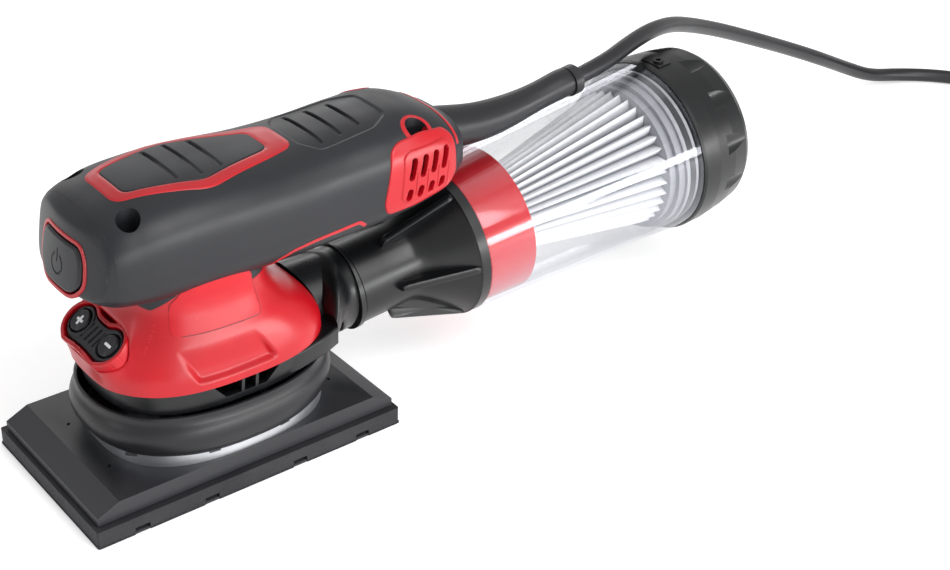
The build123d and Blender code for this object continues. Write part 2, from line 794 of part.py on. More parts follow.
def motor_housing(envelope):
    """Red bell with a pocket for the keypad."""
    inner_stations = [(z, a, b, cx) for z, a, b, cx in MOTOR_STATIONS]
    inner_stations[0] = (MOTOR_BOTTOM - 0.5, 46.4, 36.8, 0.8)
    inner_stations[-1] = (87.0, 28.4, 27.2, -5.0)
    shell = envelope - oval_loft(inner_stations, WALL)
    shell -= keypad_slab(36.4, 16.8, 7.4, -3.1, 8.0)
    shell -= keypad_slab(31.0, 12.6, 5.0, -13.0, 0.0)
    return shell - block((-60, -60, NECK_Z), (60, 60, 100))


def neck_ring(envelope):
    """Dark collar where the bell meets the handle."""
    collar = envelope & block((-60, -60, NECK_Z), (60, 60, 100))
    return collar - extrude(oval(26.0, 24.8, NECK_Z - 1, -5.0), 20.0)


def keypad_bezel():
    bezel = keypad_slab(35.8, 16.2, 7.2, -3.0, 0.0)
    for side in (1, -1):
        bezel -= keypad_plane().location * (Pos(side * KEY_OFFSET, 0, 0) * Cylinder(KEY_R + 0.45, 10.0))
    for i in range(4):
        groove = Pos(-4.8 + 3.2 * i, 0, 0) * Box(1.1, 9.0, 1.6)
        bezel -= keypad_plane().location * groove
    return bezel


def key(side):
    """Round key; the plus key is on +Y, so its side is -1 in the keypad's frame."""
    body = Pos(side * KEY_OFFSET, 0, -2.2) * Cylinder(KEY_R, 6.0)
    mark = Pos(side * KEY_OFFSET, 0, 0.9) * Box(4.4, 1.0, 1.0)
    if side < 0:
        mark += Pos(side * KEY_OFFSET, 0, 0.9) * Box(1.0, 4.4, 1.0)
    return keypad_plane().location * (body - mark)


def speed_board():
    board = Pos(0, 2.4, -8.0) * Box(30.0, 8.0, 1.6)
    return keypad_plane().location * board


# ---- cord ---------------------------------------------------------------------------------------

# Chosen route from the strain relief, over the container and down to the coil on the floor.
CORD_ROUTE = [
    RELIEF_END,
    (205.0, 1.6, 107.0),
    (225.0, 7.5, 109.3),
    (247.0, 16.5, 107.8),
    (271.0, 27.5, 102.0),
    (298.0, 39.0, 91.5),
    (328.0, 48.5, 79.0),
    (360.0, 55.0, 65.0),
    (394.0, 60.0, 50.0),
    (429.0, 64.5, 34.0),
    (462.0, 69.0, 18.0),
    (486.0, 70.0, 7.0),
    (509.0, 66.0, CORD_R),
    (528.0, 50.0, CORD_R),
    (544.0, 25.0, CORD_R),
    (571.7, -9.2, CORD_R),
]
COIL_X = 618.0
COIL_Y = 22.0
COIL_TURN_R = 55.8               # centre line of the outermost turn
COIL_LAYERS = 4
COIL_TURNS = 3                   # turns side by side in each layer
TURN_PITCH = 7.5
LAYER_PITCH = 7.6
COIL_TOP_Z = CORD_R + (COIL_LAYERS - 1) * LAYER_PITCH
COIL_EXIT = radians(-40)         # where the top layer lets the free end go
# The free end leaves the top layer and comes down to the plug.
TAIL_ROUTE = [
    (COIL_X + COIL_TURN_R * cos(COIL_EXIT), COIL_Y + COIL_TURN_R * sin(COIL_EXIT), COIL_TOP_Z),
    (673.6, 1.4, 25.0),
    (683.4, 18.5, 18.0),
    (687.2, 38.0, 11.2),
    (687.5, 58.0, 9.2),
]
PLUG_LENGTH = 44.0
PIN_LENGTH = 19.0


def corner_radii(points):
    """Largest tangent arc at each corner: 0.45 of the shorter run over the tangent of half the turn."""
    radii = []
    for before, corner, after in zip(points, points[1:], points[2:]):
        run_in = Vector(*corner) - Vector(*before)
        run_out = Vector(*after) - Vector(*corner)
        turn = run_in.get_angle(run_out)
        radii.append(0.45 * min(run_in.length, run_out.length) / tan(radians(turn) / 2))
    return radii


def round_tube(points, radius):
    """Plain tube of straight runs joined by tangent arcs."""
    path = FilletPolyline(*points, radius=corner_radii(points))
    start = Plane(origin=points[0], z_dir=Vector(*points[1]) - Vector(*points[0]))
    solid = sweep(start * Circle(radius), path=path)
    full = pi * radius**2 * path.length
    print("tube length", round(path.length, 1), "volume ratio", round(solid.volume / full, 4))
    return solid


def cord_coil():
    """Closed ring that the stored turns fill."""
    outer = COIL_TURN_R + CORD_R + 0.1
    inner = COIL_TURN_R - COIL_TURNS * TURN_PITCH - CORD_R - 0.1
    return tube(COIL_X, COIL_Y, 0.0, COIL_TOP_Z + CORD_R + 0.1, outer, inner)


def plug_plane():
    """Local frame at the back of the plug: z runs towards its pins, y is up."""
    x, y, z = TAIL_ROUTE[-1]
    return Plane(origin=(x, y, z), x_dir=(-1, 0, 0), z_dir=(0, 1, 0))


def plug():
    """Flat two-pin plug: a sleeve that widens into the moulded body, with finger grooves."""
    sleeve = [Circle(5.2), Pos(0, 0, 10) * Circle(6.0), Pos(0, 0, 20) * Circle(7.4)]
    body = [
        Pos(0, 0, 20) * RectangleRounded(15.0, 15.0, 7.4),
        Pos(0, 0, 29) * RectangleRounded(29.0, 17.2, 8.0),
        Pos(0, 0, PLUG_LENGTH) * RectangleRounded(35.0, 18.0, 8.6),
    ]
    solid = loft(sleeve) + loft(body)
    for z in (30.0, 34.0, 38.0):
        for side in (-1, 1):
            solid -= Pos(side * 17.6, 0, z) * Box(2.4, 20.0, 1.4)
    return plug_plane().location * solid


def plug_pins():
    pins = []
    for side in (-1, 1):
        pin = Pos(side * 9.5, 0, PLUG_LENGTH + PIN_LENGTH / 2) * Cylinder(2.4, PIN_LENGTH)
        pins.append(plug_plane().location * pin)
    return joined(pins)


def relief_root_space():
    """Opening in the handle's back wall for the strain relief."""
    return Pos(108.0, 0, 102.3) * Rot(0, 90, 0) * Cylinder(9.9, 30.0)


# station x, height of the centre line, radius
RELIEF_STATIONS = [
    (104.0, 102.6, 9.3),
    (108.0, 102.4, 9.5),
    (116.0, 101.6, 9.3),
    (128.0, 100.0, 8.5),
    (141.0, 99.4, 7.7),
    (155.0, 100.6, 6.7),
    (170.0, 103.2, 6.1),
    (184.5, 105.15, 5.8),
]


def strain_relief():
    """Tapered rubber sleeve with a bead at its end."""
    sections = []
    for x, z, radius in RELIEF_STATIONS:
        sections.append(Plane(origin=(x, 0, z), z_dir=(1, 0, 0)) * Circle(radius))
    sleeve = loft(sections)
    along = Vector(*CORD_ROUTE[1]) - Vector(*CORD_ROUTE[0])
    tip = Plane(origin=RELIEF_END, z_dir=along)
    bead = tip * (Pos(0, 0, -2.2) * Cylinder(6.5, 4.4))
    return sleeve + bead


def main():
    motor_solid = motor_envelope()
    parts = {
        "hook_face": hook_face(),
        "cushion": cushion(),
        "pad_plate": pad_plate(),
        "pad_screws": pad_screws(),
        "seal_band": seal_band(),
        "pad_hub": pad_hub(),
        "crank_bearing": crank_bearing(),
        "elastic_legs": elastic_legs(),
        "skirt": skirt(),
        "skirt_clips": skirt_clips(),
        "crank_pin": crank_pin(),
        "counterweight": counterweight(),
        "motor_shaft": motor_shaft(),
        "fan_impeller": fan_impeller(),
        "rotor": rotor(),
        "stator": stator(),
        "windings": windings(),
        "bearing_plate": bearing_plate(),
        "lower_bearing": lower_bearing(),
        "bearing_bridge": bearing_bridge(),
        "upper_bearing": upper_bearing(),
        "fan_housing": fan_housing(),
        "outlet_port": outlet_port(motor_solid),
        "port_collar": port_collar(),
        "motor_housing": motor_housing(motor_solid),
        "keypad_bezel": keypad_bezel(),
        "plus_key": key(-1),
        "minus_key": key(1),
        "speed_board": speed_board(),
        "power_button": power_button(),
        "power_switch": power_switch(),
        "handle_screws": handle_screws(),
        "control_board": control_board(),
        "capacitors": capacitors(),
        "heat_sink": heat_sink(),
        "cord_clamp": cord_clamp(),
        "strain_relief": strain_relief(),
        "container_funnel": container_funnel(),
        "funnel_seal": funnel_seal(),
        "red_ring": red_ring(),
        "container_tube": container_tube(),
        "filter_frame": filter_frame(),
        "filter_pleats": filter_pleats(),
        "filter_gasket": filter_gasket(),
        "container_cap": container_cap(),
        "cap_latch": cap_latch(),
        "cap_seal": cap_seal(),
        "neck_ring": neck_ring(motor_solid),
        "cord_tube": round_tube(CORD_ROUTE, CORD_R),
        "cord_coil": cord_coil(),
        "cord_tail": round_tube(TAIL_ROUTE, CORD_R),
        "plug": plug(),
        "plug_pins": plug_pins(),
    }
    parts.update(handle_parts(motor_solid))
    os.makedirs("parts", exist_ok=True)
    for name, shape in parts.items():
        export_step(shape, f"parts/{name}.step")


main()
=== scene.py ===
import json
from math import cos, pi, radians, sin

import bmesh
import bpy
import numpy as np
from mathutils import Matrix, Vector


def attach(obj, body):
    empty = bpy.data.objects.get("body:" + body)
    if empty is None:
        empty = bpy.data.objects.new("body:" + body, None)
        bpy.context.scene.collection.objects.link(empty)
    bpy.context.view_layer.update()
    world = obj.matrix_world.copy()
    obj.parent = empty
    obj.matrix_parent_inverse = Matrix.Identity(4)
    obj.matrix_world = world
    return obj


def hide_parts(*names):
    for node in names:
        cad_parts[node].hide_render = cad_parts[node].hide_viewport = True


# Looks of the orbital sander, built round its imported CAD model. Metres; helper sizes in MM are turned into metres.
MM = 0.001

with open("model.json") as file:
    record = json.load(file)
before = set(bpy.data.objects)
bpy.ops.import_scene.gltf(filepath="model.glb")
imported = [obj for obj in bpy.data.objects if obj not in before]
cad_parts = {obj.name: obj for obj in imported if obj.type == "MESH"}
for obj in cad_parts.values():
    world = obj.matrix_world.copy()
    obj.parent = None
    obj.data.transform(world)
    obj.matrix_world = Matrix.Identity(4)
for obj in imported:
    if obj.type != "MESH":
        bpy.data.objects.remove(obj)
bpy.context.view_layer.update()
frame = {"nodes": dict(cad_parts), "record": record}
NODES = frame["nodes"]


# ---- camera ----------------------------------------------------------------------------------------------

CAMERA_PLACE = (-0.257974, -0.479273, 0.390372)
CAMERA_RIGHT = (0.78266, -0.62176, 0.02922)
CAMERA_UP = (0.29872, 0.41638, 0.85872)
CAMERA_BACK = (-0.54608, -0.66336, 0.51162)
CAMERA_LENS = 63.01


def make_camera():
    """Camera that sees the object from its front left and above."""
    data = bpy.data.cameras.new("camera")
    data.lens = CAMERA_LENS
    data.sensor_width = 36.0
    data.clip_start = 0.01
    data.clip_end = 50.0
    camera = bpy.data.objects.new("camera", data)
    bpy.context.scene.collection.objects.link(camera)
    turn = Matrix((CAMERA_RIGHT, CAMERA_UP, CAMERA_BACK)).transposed()
    camera.matrix_world = Matrix.Translation(CAMERA_PLACE) @ turn.to_4x4()
    bpy.context.scene.camera = camera


make_camera()


# ---- materials -------------------------------------------------------------------------------------------

def linear(r, g, b):
    """Linear colour from 0 to 255 display values."""
    out = []
    for value in (r, g, b):
        share = value / 255.0
        out.append(share / 12.92 if share <= 0.04045 else ((share + 0.055) / 1.055) ** 2.4)
    return (*out, 1.0)


class Shader:
    """A material with one Principled shader and short calls for its nodes."""

    def __init__(self, name, roughness, metallic=0.0, specular=0.5, coat=0.0, coat_roughness=0.1):
        self.material = bpy.data.materials.new(name)
        self.material.use_nodes = True
        self.tree = self.material.node_tree
        self.shader = self.tree.nodes["Principled BSDF"]
        self.shader.inputs["Roughness"].default_value = roughness
        self.shader.inputs["Metallic"].default_value = metallic
        self.shader.inputs["Specular IOR Level"].default_value = specular
        self.shader.inputs["Coat Weight"].default_value = coat
        self.shader.inputs["Coat Roughness"].default_value = coat_roughness
        self.place = self.tree.nodes.new("ShaderNodeTexCoord").outputs["Object"]
        self.height = None

    def link(self, start, end):
        self.tree.links.new(start, end)

    def scaled(self, scale):
        """Object coordinates times a per-axis scale."""
        node = self.tree.nodes.new("ShaderNodeMapping")
        node.inputs["Scale"].default_value = scale
        self.link(self.place, node.inputs["Vector"])
        return node.outputs["Vector"]

    def noise(self, scale, detail=3.0, stretch=(1, 1, 1), roughness=0.5):
        node = self.tree.nodes.new("ShaderNodeTexNoise")
        node.inputs["Scale"].default_value = scale
        node.inputs["Detail"].default_value = detail
        node.inputs["Roughness"].default_value = roughness
        self.link(self.scaled(stretch), node.inputs["Vector"])
        return node.outputs["Fac"]

    def cells(self, scale, stretch=(1, 1, 1)):
        node = self.tree.nodes.new("ShaderNodeTexVoronoi")
        node.inputs["Scale"].default_value = scale
        self.link(self.scaled(stretch), node.inputs["Vector"])
        return node.outputs["Distance"]

    def ramp(self, value, low, high, out_low, out_high):
        """Value mapped from low..high to out_low..out_high, clamped."""
        node = self.tree.nodes.new("ShaderNodeMapRange")
        node.inputs["From Min"].default_value = low
        node.inputs["From Max"].default_value = high
        node.inputs["To Min"].default_value = out_low
        node.inputs["To Max"].default_value = out_high
        self.link(value, node.inputs["Value"])
        return node.outputs["Result"]

    def edges(self):
        """Share of painted highlight: 1 on sharp outer edges."""
        node = self.tree.nodes.new("ShaderNodeNewGeometry")
        return self.ramp(node.outputs["Pointiness"], 0.54, 0.66, 0.0, 0.6)

    def mixed(self, share, first, second):
        node = self.tree.nodes.new("ShaderNodeMix")
        node.data_type = "RGBA"
        self.link(share, node.inputs["Factor"])
        for socket, value in ((node.inputs[6], first), (node.inputs[7], second)):
            if isinstance(value, bpy.types.NodeSocket):
                self.link(value, socket)
            else:
                socket.default_value = value
        return node.outputs[2]

    def colour(self, value):
        if isinstance(value, bpy.types.NodeSocket):
            self.link(value, self.shader.inputs["Base Color"])
        else:
            self.shader.inputs["Base Color"].default_value = value

    def rough(self, value):
        self.link(value, self.shader.inputs["Roughness"])

    def bump(self, height, distance, strength=1.0):
        """Adds one layer of bump of the given depth in metres."""
        node = self.tree.nodes.new("ShaderNodeBump")
        node.inputs["Strength"].default_value = strength
        node.inputs["Distance"].default_value = distance
        self.link(height, node.inputs["Height"])
        if self.height is not None:
            self.link(self.height, node.inputs["Normal"])
        self.height = node.outputs["Normal"]
        self.link(self.height, self.shader.inputs["Normal"])


def moulded(name, base, edge_highlight, roughness, grain, depth, specular=0.5, coat=0.0):
    """Moulded plastic: fine grain, slow changes of gloss and colour, a paler painted highlight along sharp edges."""
    look = Shader(name, roughness, specular=specular, coat=coat, coat_roughness=0.15)
    clouds = look.noise(28.0, 4.0)
    specks = look.noise(900.0, 2.0)
    tone = tuple(c * 0.82 for c in base[:3]) + (1.0,)
    body = look.mixed(look.ramp(clouds, 0.35, 0.65, 0.0, 1.0), base, tone)
    # sharp edges are mixed towards a paler colour: painted highlight
    look.colour(look.mixed(look.edges(), body, edge_highlight))
    spread = look.ramp(specks, 0.3, 0.7, -0.015, 0.015)
    total = look.tree.nodes.new("ShaderNodeMath")
    total.operation = "ADD"
    look.link(look.ramp(clouds, 0.3, 0.7, roughness - 0.05, roughness + 0.06), total.inputs[0])
    look.link(spread, total.inputs[1])
    look.rough(total.outputs[0])
    look.bump(look.noise(grain, 2.0), depth)
    look.bump(look.noise(220.0, 1.0), depth * 0.3, 0.4)
    return look.material


def foam():
    """Closed-cell foam: pores and a soft mottle."""
    look = Shader("foam", 0.7, specular=0.3)
    pores = look.cells(1400.0)
    mottle = look.noise(60.0, 4.0)
    look.colour(look.mixed(look.ramp(mottle, 0.3, 0.7, 0, 1), linear(34, 34, 37), linear(46, 46, 49)))
    look.rough(look.ramp(pores, 0.0, 0.7, 0.85, 0.6))
    look.bump(pores, 0.00008)
    look.bump(mottle, 0.0002, 0.6)
    return look.material


def hook_fabric():
    look = Shader("hook_fabric", 0.95, specular=0.15)
    hooks = look.cells(2200.0)
    look.colour(look.mixed(look.ramp(hooks, 0.0, 0.6, 0, 1), linear(26, 26, 28), linear(60, 60, 63)))
    look.bump(hooks, 0.0002)
    return look.material


def aluminium():
    """Drawn aluminium with fine lines round it."""
    look = Shader("aluminium", 0.26, metallic=1.0)
    lines = look.noise(700.0, 4.0, stretch=(0.05, 0.05, 3.0))
    smudge = look.noise(40.0, 3.0)
    look.colour(look.mixed(look.ramp(smudge, 0.3, 0.7, 0, 1), linear(214, 216, 220), linear(188, 190, 195)))
    look.rough(look.ramp(lines, 0.3, 0.7, 0.36, 0.50))
    look.bump(lines, 0.000006, 0.4)
    return look.material


def steel():
    look = Shader("steel", 0.3, metallic=1.0)
    lines = look.noise(1200.0, 3.0)
    look.colour(look.mixed(look.ramp(lines, 0.3, 0.7, 0, 1), linear(150, 151, 155), linear(118, 119, 124)))
    look.rough(look.ramp(lines, 0.3, 0.7, 0.24, 0.42))
    look.bump(lines, 0.00002)
    return look.material


def brass(name, base):
    look = Shader(name, 0.32, metallic=1.0)
    lines = look.noise(900.0, 3.0)
    dark = tuple(c * 0.7 for c in base[:3]) + (1.0,)
    look.colour(look.mixed(look.ramp(lines, 0.3, 0.7, 0, 1), base, dark))
    look.bump(lines, 0.00003)
    return look.material


def board():
    look = Shader("board", 0.45)
    tracks = look.cells(500.0, stretch=(1.0, 0.25, 1.0))
    look.colour(look.mixed(look.ramp(tracks, 0.2, 0.3, 0, 1), linear(26, 110, 62), linear(20, 88, 50)))
    look.bump(tracks, 0.00004)
    return look.material


def clear_plastic():
    """Thin clear wall: see-through, with mirror-like gloss that grows towards its edges and fine scratches."""
    look = Shader("clear_plastic", 0.05, metallic=1.0)
    look.colour(look.mixed(look.noise(20.0), linear(200, 202, 210), linear(212, 214, 221)))
    rim = look.tree.nodes.new("ShaderNodeLayerWeight")
    rim.inputs["Blend"].default_value = 0.30
    look.link(look.ramp(rim.outputs["Facing"], 0.1, 1.0, 0.04, 0.60), look.shader.inputs["Alpha"])
    scratches = look.noise(300.0, 5.0, stretch=(0.1, 1.0, 1.0))
    look.rough(look.ramp(scratches, 0.4, 0.7, 0.04, 0.10))
    look.bump(look.noise(30.0, 1.0), 0.00015, 0.12)
    return look.material


def red_clear():
    look = Shader("red_clear", 0.2, specular=0.5)
    look.colour(look.mixed(look.noise(30.0), linear(196, 30, 40), linear(180, 22, 32)))
    look.shader.inputs["Alpha"].default_value = 0.94
    look.bump(look.noise(300.0), 0.00003)
    return look.material


def filter_paper():
    """White folded paper, greyer down in its folds: painted shade."""
    look = Shader("filter_paper", 0.85, specular=0.25)
    fibres = look.noise(1500.0, 4.0, stretch=(0.3, 1.0, 1.0))
    fold = look.tree.nodes.new("ShaderNodeAttribute")
    fold.attribute_name = "fold"
    paper = look.mixed(look.ramp(fibres, 0.3, 0.7, 0, 1), linear(240, 241, 244), linear(222, 224, 228))
    # grey down in the folds, paper white on the crests: painted shade
    look.colour(look.mixed(look.ramp(fold.outputs["Fac"], 0.05, 0.8, 0, 1), linear(136, 138, 144), paper))
    look.bump(fibres, 0.00006)
    return look.material


# base colour, colour of the painted highlight on sharp edges, roughness, grain scale, grain depth, specular, coat
MOULDED = {
    "charcoal_plastic": ((29, 30, 34), (60, 61, 66), 0.40, 3000.0, 0.00002, 0.36, 0.0),
    "dark_inlay": ((32, 33, 37), (62, 62, 66), 0.46, 2600.0, 0.00003, 0.36, 0.0),
    "black_plastic": ((12, 13, 15), (36, 37, 40), 0.32, 3000.0, 0.000008, 0.45, 0.0),
    "red_plastic": ((176, 10, 24), (200, 40, 50), 0.34, 3500.0, 0.000004, 0.4, 0.1),
    "label_red": ((184, 14, 28), (206, 50, 58), 0.34, 3500.0, 0.000003, 0.35, 0.0),
    # deep_red: painted shade down in the grille slots; also the colour of the dark seams round the labels
    "deep_red": ((70, 6, 10), (90, 14, 18), 0.5, 1500.0, 0.00001, 0.5, 0.0),
    "rubber": ((27, 27, 30), (52, 52, 56), 0.38, 3000.0, 0.000015, 0.4, 0.0),
    "pad_plastic": ((29, 30, 33), (58, 58, 62), 0.38, 3000.0, 0.000015, 0.4, 0.0),
    "filter_grey": ((150, 152, 158), (190, 190, 195), 0.42, 1500.0, 0.00003, 0.5, 0.0),
    "white_mark": ((226, 227, 230), (240, 240, 242), 0.4, 1500.0, 0.00001, 0.5, 0.0),
}
LOOKS = {name: moulded(name, linear(*base), linear(*edge_highlight), *settings)
         for name, (base, edge_highlight, *settings) in MOULDED.items()}
LOOKS.update({
    "foam": foam(),
    "hook_fabric": hook_fabric(),
    "aluminium": aluminium(),
    "steel": steel(),
    "brass": brass("brass", linear(196, 160, 92)),
    "copper": brass("copper", linear(196, 120, 74)),
    "board": board(),
    "clear": clear_plastic(),
    "red_clear": red_clear(),
    "filter_paper": filter_paper(),
})


def coat_nodes():
    """Every CAD node takes the look of its slot in the record."""
    for part in frame["record"]["subparts"]:
        mesh = NODES[part["node"]].data
        mesh.materials.clear()
        mesh.materials.append(LOOKS[part["material_slot"]])


coat_nodes()


# ---- cord ------------------------------------------------------------------------------------------------

CORD_R = 0.0037
CORD_ROUTE = [
    (0.1870, 0.0000, 0.1054),
    (0.2050, 0.0016, 0.1070),
    (0.2250, 0.0075, 0.1093),
    (0.2470, 0.0165, 0.1078),
    (0.2710, 0.0275, 0.1020),
    (0.2980, 0.0390, 0.0915),
    (0.3280, 0.0485, 0.0790),
    (0.3600, 0.0550, 0.0650),
    (0.3940, 0.0600, 0.0500),
    (0.4290, 0.0645, 0.0340),
    (0.4620, 0.0690, 0.0180),
    (0.4860, 0.0700, 0.0070),
    (0.5090, 0.0660, CORD_R),
    (0.5280, 0.0500, CORD_R),
    (0.5440, 0.0250, CORD_R),
]
COIL_CENTRE = (0.618, 0.022)
COIL_TURN_R = 0.0558
COIL_LAYERS = 4
COIL_TURNS = 3
TURN_PITCH = 0.0075
LAYER_PITCH = 0.0076
COIL_ENTRY = radians(214)
POINTS_PER_TURN = 24
COIL_EXIT = radians(-40)
TAIL_ROUTE = [
    (0.6736, 0.0014, 0.0250),
    (0.6834, 0.0185, 0.0180),
    (0.6872, 0.0380, 0.0112),
    (0.6875, 0.0580, 0.0092),
]


def coil_points():
    """Control points of the stored turns: each layer winds inwards or outwards, then climbs to the next."""
    total = COIL_LAYERS * COIL_TURNS * 2 * pi + 2 * pi - COIL_ENTRY + COIL_EXIT
    steps = round(total / (2 * pi) * POINTS_PER_TURN)
    inner_r = COIL_TURN_R - (COIL_TURNS - 1) * TURN_PITCH
    points = []
    for i in range(steps + 1):
        turn = total * i / steps
        layer_share = turn / total * COIL_LAYERS
        layer = min(int(layer_share), COIL_LAYERS - 1)
        across = layer_share - layer
        wound = across * COIL_TURNS * 1.12 - 0.06
        wound = min(max(wound, 0.0), COIL_TURNS) / COIL_TURNS
        span = COIL_TURN_R - inner_r
        radius = COIL_TURN_R - span * wound if layer % 2 == 0 else inner_r + span * wound
        climb = min(max((across - 0.93) / 0.07, 0.0), 1.0) if layer < COIL_LAYERS - 1 else 0.0
        climb = climb * climb * (3 - 2 * climb)
        z = CORD_R + LAYER_PITCH * (layer + climb)
        angle = COIL_ENTRY + turn
        points.append((COIL_CENTRE[0] + radius * cos(angle), COIL_CENTRE[1] + radius * sin(angle), z))
    return points


def make_cord():
    """The cord from the strain relief through its coil to the plug, as one smooth spline."""
    points = CORD_ROUTE + coil_points() + TAIL_ROUTE
    data = bpy.data.curves.new("power_cord", "CURVE")
    data.dimensions = "3D"
    data.bevel_depth = CORD_R
    data.bevel_resolution = 5
    data.resolution_u = 5
    data.use_fill_caps = True
    spline = data.splines.new("NURBS")
    spline.points.add(len(points) - 1)
    for slot, point in zip(spline.points, points):
        slot.co = (*point, 1.0)
    spline.order_u = 3
    spline.use_endpoint_u = True
    cord = bpy.data.objects.new("power_cord", data)
    bpy.context.scene.collection.objects.link(cord)
    data.materials.append(LOOKS["rubber"])
    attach(cord, "housing")
    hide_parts("cord_tube", "cord_coil", "cord_tail")


make_cord()


# ---- building meshes -------------------------------------------------------------------------------------

def finish_mesh(name, vertices, faces, body, slot, replaced=(), crease=38, look=None):
    """A mesh from millimetre points, with outward normals and creases, riding on a CAD body.
    It has its slot's look unless another is given."""
    mesh = bpy.data.meshes.new(name)
    mesh.from_pydata((np.asarray(vertices) * MM).tolist(), [], faces)
    work = bmesh.new()
    work.from_mesh(mesh)
    bmesh.ops.remove_doubles(work, verts=work.verts, dist=1e-7)
    bmesh.ops.recalc_face_normals(work, faces=work.faces)
    work.to_mesh(mesh)
    work.free()
    mesh.shade_smooth()
    mesh.set_sharp_from_angle(angle=radians(crease))
    mesh.materials.append(look or LOOKS[slot])
    piece = bpy.data.objects.new(name, mesh)
    bpy.context.scene.collection.objects.link(piece)
    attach(piece, body)
    if replaced:
        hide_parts(*replaced)
    return piece


def ring_faces(rings, around, first_cap, last_cap, closed=False):
    """Quads between rings of points, with a fan at either end or the last ring joined to the first."""
    faces = []
    for i in range(rings if closed else rings - 1):
        here = i * around
        there = ((i + 1) % rings) * around
        for j in range(around):
            k = (j + 1) % around
            faces.append((here + j, here + k, there + k, there + j))
    hub = rings * around
    if first_cap:
        faces += [(hub, (j + 1) % around, j) for j in range(around)]
        hub += 1
    if last_cap:
        base = (rings - 1) * around
        faces += [(hub, base + j, base + (j + 1) % around) for j in range(around)]
    return faces


def ringed(name, rings, body, slot, replaced=(), first_cap=True, last_cap=True, closed=False, crease=38, look=None):
    """A mesh through rings of millimetre points: an array of rings, points round, xyz."""
    rings = np.asarray(rings, float)
    count, around, _ = rings.shape
    points = rings.reshape(-1, 3)
    hubs = []
    if first_cap:
        hubs.append(rings[0].mean(0))
    if last_cap:
        hubs.append(rings[-1].mean(0))
    if hubs:
        points = np.vstack([points, hubs])
    faces = ring_faces(count, around, first_cap, last_cap, closed)
    return finish_mesh(name, points, faces, body, slot, replaced, crease, look)


def eased(low, high, value):
    """0 below low, 1 above high, smooth between."""
    share = np.clip((value - low) / (high - low), 0, 1)
    return share * share * (3 - 2 * share)


def smooth_max(a, b, width):
    return (a + b + np.sqrt((a - b) ** 2 + width ** 2)) / 2


def smooth_min(a, b, width):
    return (a + b - np.sqrt((a - b) ** 2 + width ** 2)) / 2


def through(knots, values, at):
    """Smooth curve through the knots, with the slope at each set by its neighbours."""
    knots = np.asarray(knots, float)
    values = np.asarray(values, float)
    slopes = np.gradient(values, knots)
    at = np.clip(at, knots[0], knots[-1])
    i = np.clip(np.searchsorted(knots, at, side="right") - 1, 0, len(knots) - 2)
    gap = knots[i + 1] - knots[i]
    t = (at - knots[i]) / gap
    first = (2 * t ** 3 - 3 * t ** 2 + 1) * values[i] + (t ** 3 - 2 * t ** 2 + t) * gap * slopes[i]
    return first + (3 * t ** 2 - 2 * t ** 3) * values[i + 1] + (t ** 3 - t ** 2) * gap * slopes[i + 1]


def oval_turn(turn, power):
    """Cosine and sine of turn, reshaped for an oval that is squarer the higher its power."""
    c, s = np.cos(turn), np.sin(turn)
    return np.sign(c) * np.abs(c) ** (2 / power), np.sign(s) * np.abs(s) ** (2 / power)


def unit_circle(count):
    turn = np.linspace(0, 2 * pi, count, endpoint=False)
    return np.stack([np.cos(turn), np.sin(turn)], 1)


def rounded(corners, radius, count=360):
    """Closed outline with its corners rounded, as evenly spaced points."""
    corners = np.asarray(corners, float)
    line = []
    size = len(corners)
    for i in range(size):
        before, here, after = corners[i - 1], corners[i], corners[(i + 1) % size]
        to_before = before - here
        to_after = after - here
        reach = min(radius, 0.45 * np.linalg.norm(to_before), 0.45 * np.linalg.norm(to_after))
        start = here + to_before / np.linalg.norm(to_before) * reach
        end = here + to_after / np.linalg.norm(to_after) * reach
        for share in np.linspace(0, 1, 12):
            line.append((1 - share) ** 2 * start + 2 * share * (1 - share) * here + share ** 2 * end)
    line = np.array(line + [line[0]])
    run = np.concatenate([[0], np.cumsum(np.linalg.norm(np.diff(line, axis=0), axis=1))])
    even = np.linspace(0, run[-1], count, endpoint=False)
    return np.stack([np.interp(even, run, line[:, 0]), np.interp(even, run, line[:, 1])], 1)


def inside(points, outline):
    """Signed distance from points (…, 2) to a closed outline: below 0 inside it."""
    flat = points.reshape(-1, 2)
    a = outline
    b = np.roll(outline, -1, axis=0)
    best = np.full(len(flat), 1e9)
    crossed = np.zeros(len(flat), bool)
    for p, q in zip(a, b):
        edge = q - p
        rel = flat - p
        t = np.clip(rel @ edge / max(edge @ edge, 1e-12), 0, 1)
        gap = rel - t[:, None] * edge
        best = np.minimum(best, (gap ** 2).sum(1))
        spans = (p[1] > flat[:, 1]) != (q[1] > flat[:, 1])
        if abs(edge[1]) > 1e-12:
            crossed ^= spans & (flat[:, 0] < edge[0] * (flat[:, 1] - p[1]) / edge[1] + p[0])
    return np.where(crossed, -1, 1).reshape(points.shape[:-1]) * np.sqrt(best).reshape(points.shape[:-1])


def slot_distance(u, v, start, end):
    """Distance to a straight stretch between two points."""
    start = np.array(start, float)
    along = np.array(end, float) - start
    t = np.clip(((u - start[0]) * along[0] + (v - start[1]) * along[1]) / (along @ along), 0, 1)
    return np.hypot(u - start[0] - t * along[0], v - start[1] - t * along[1])


def raised(surface, u, v, height):
    """Points of a surface(u, v) moved out along its normal by height."""
    step = 0.05
    here = surface(u, v)
    normal = np.cross(surface(u + step, v) - here, surface(u, v + step) - here)
    normal /= np.linalg.norm(normal, axis=-1, keepdims=True) + 1e-12
    return here + normal * np.asarray(height)[..., None]


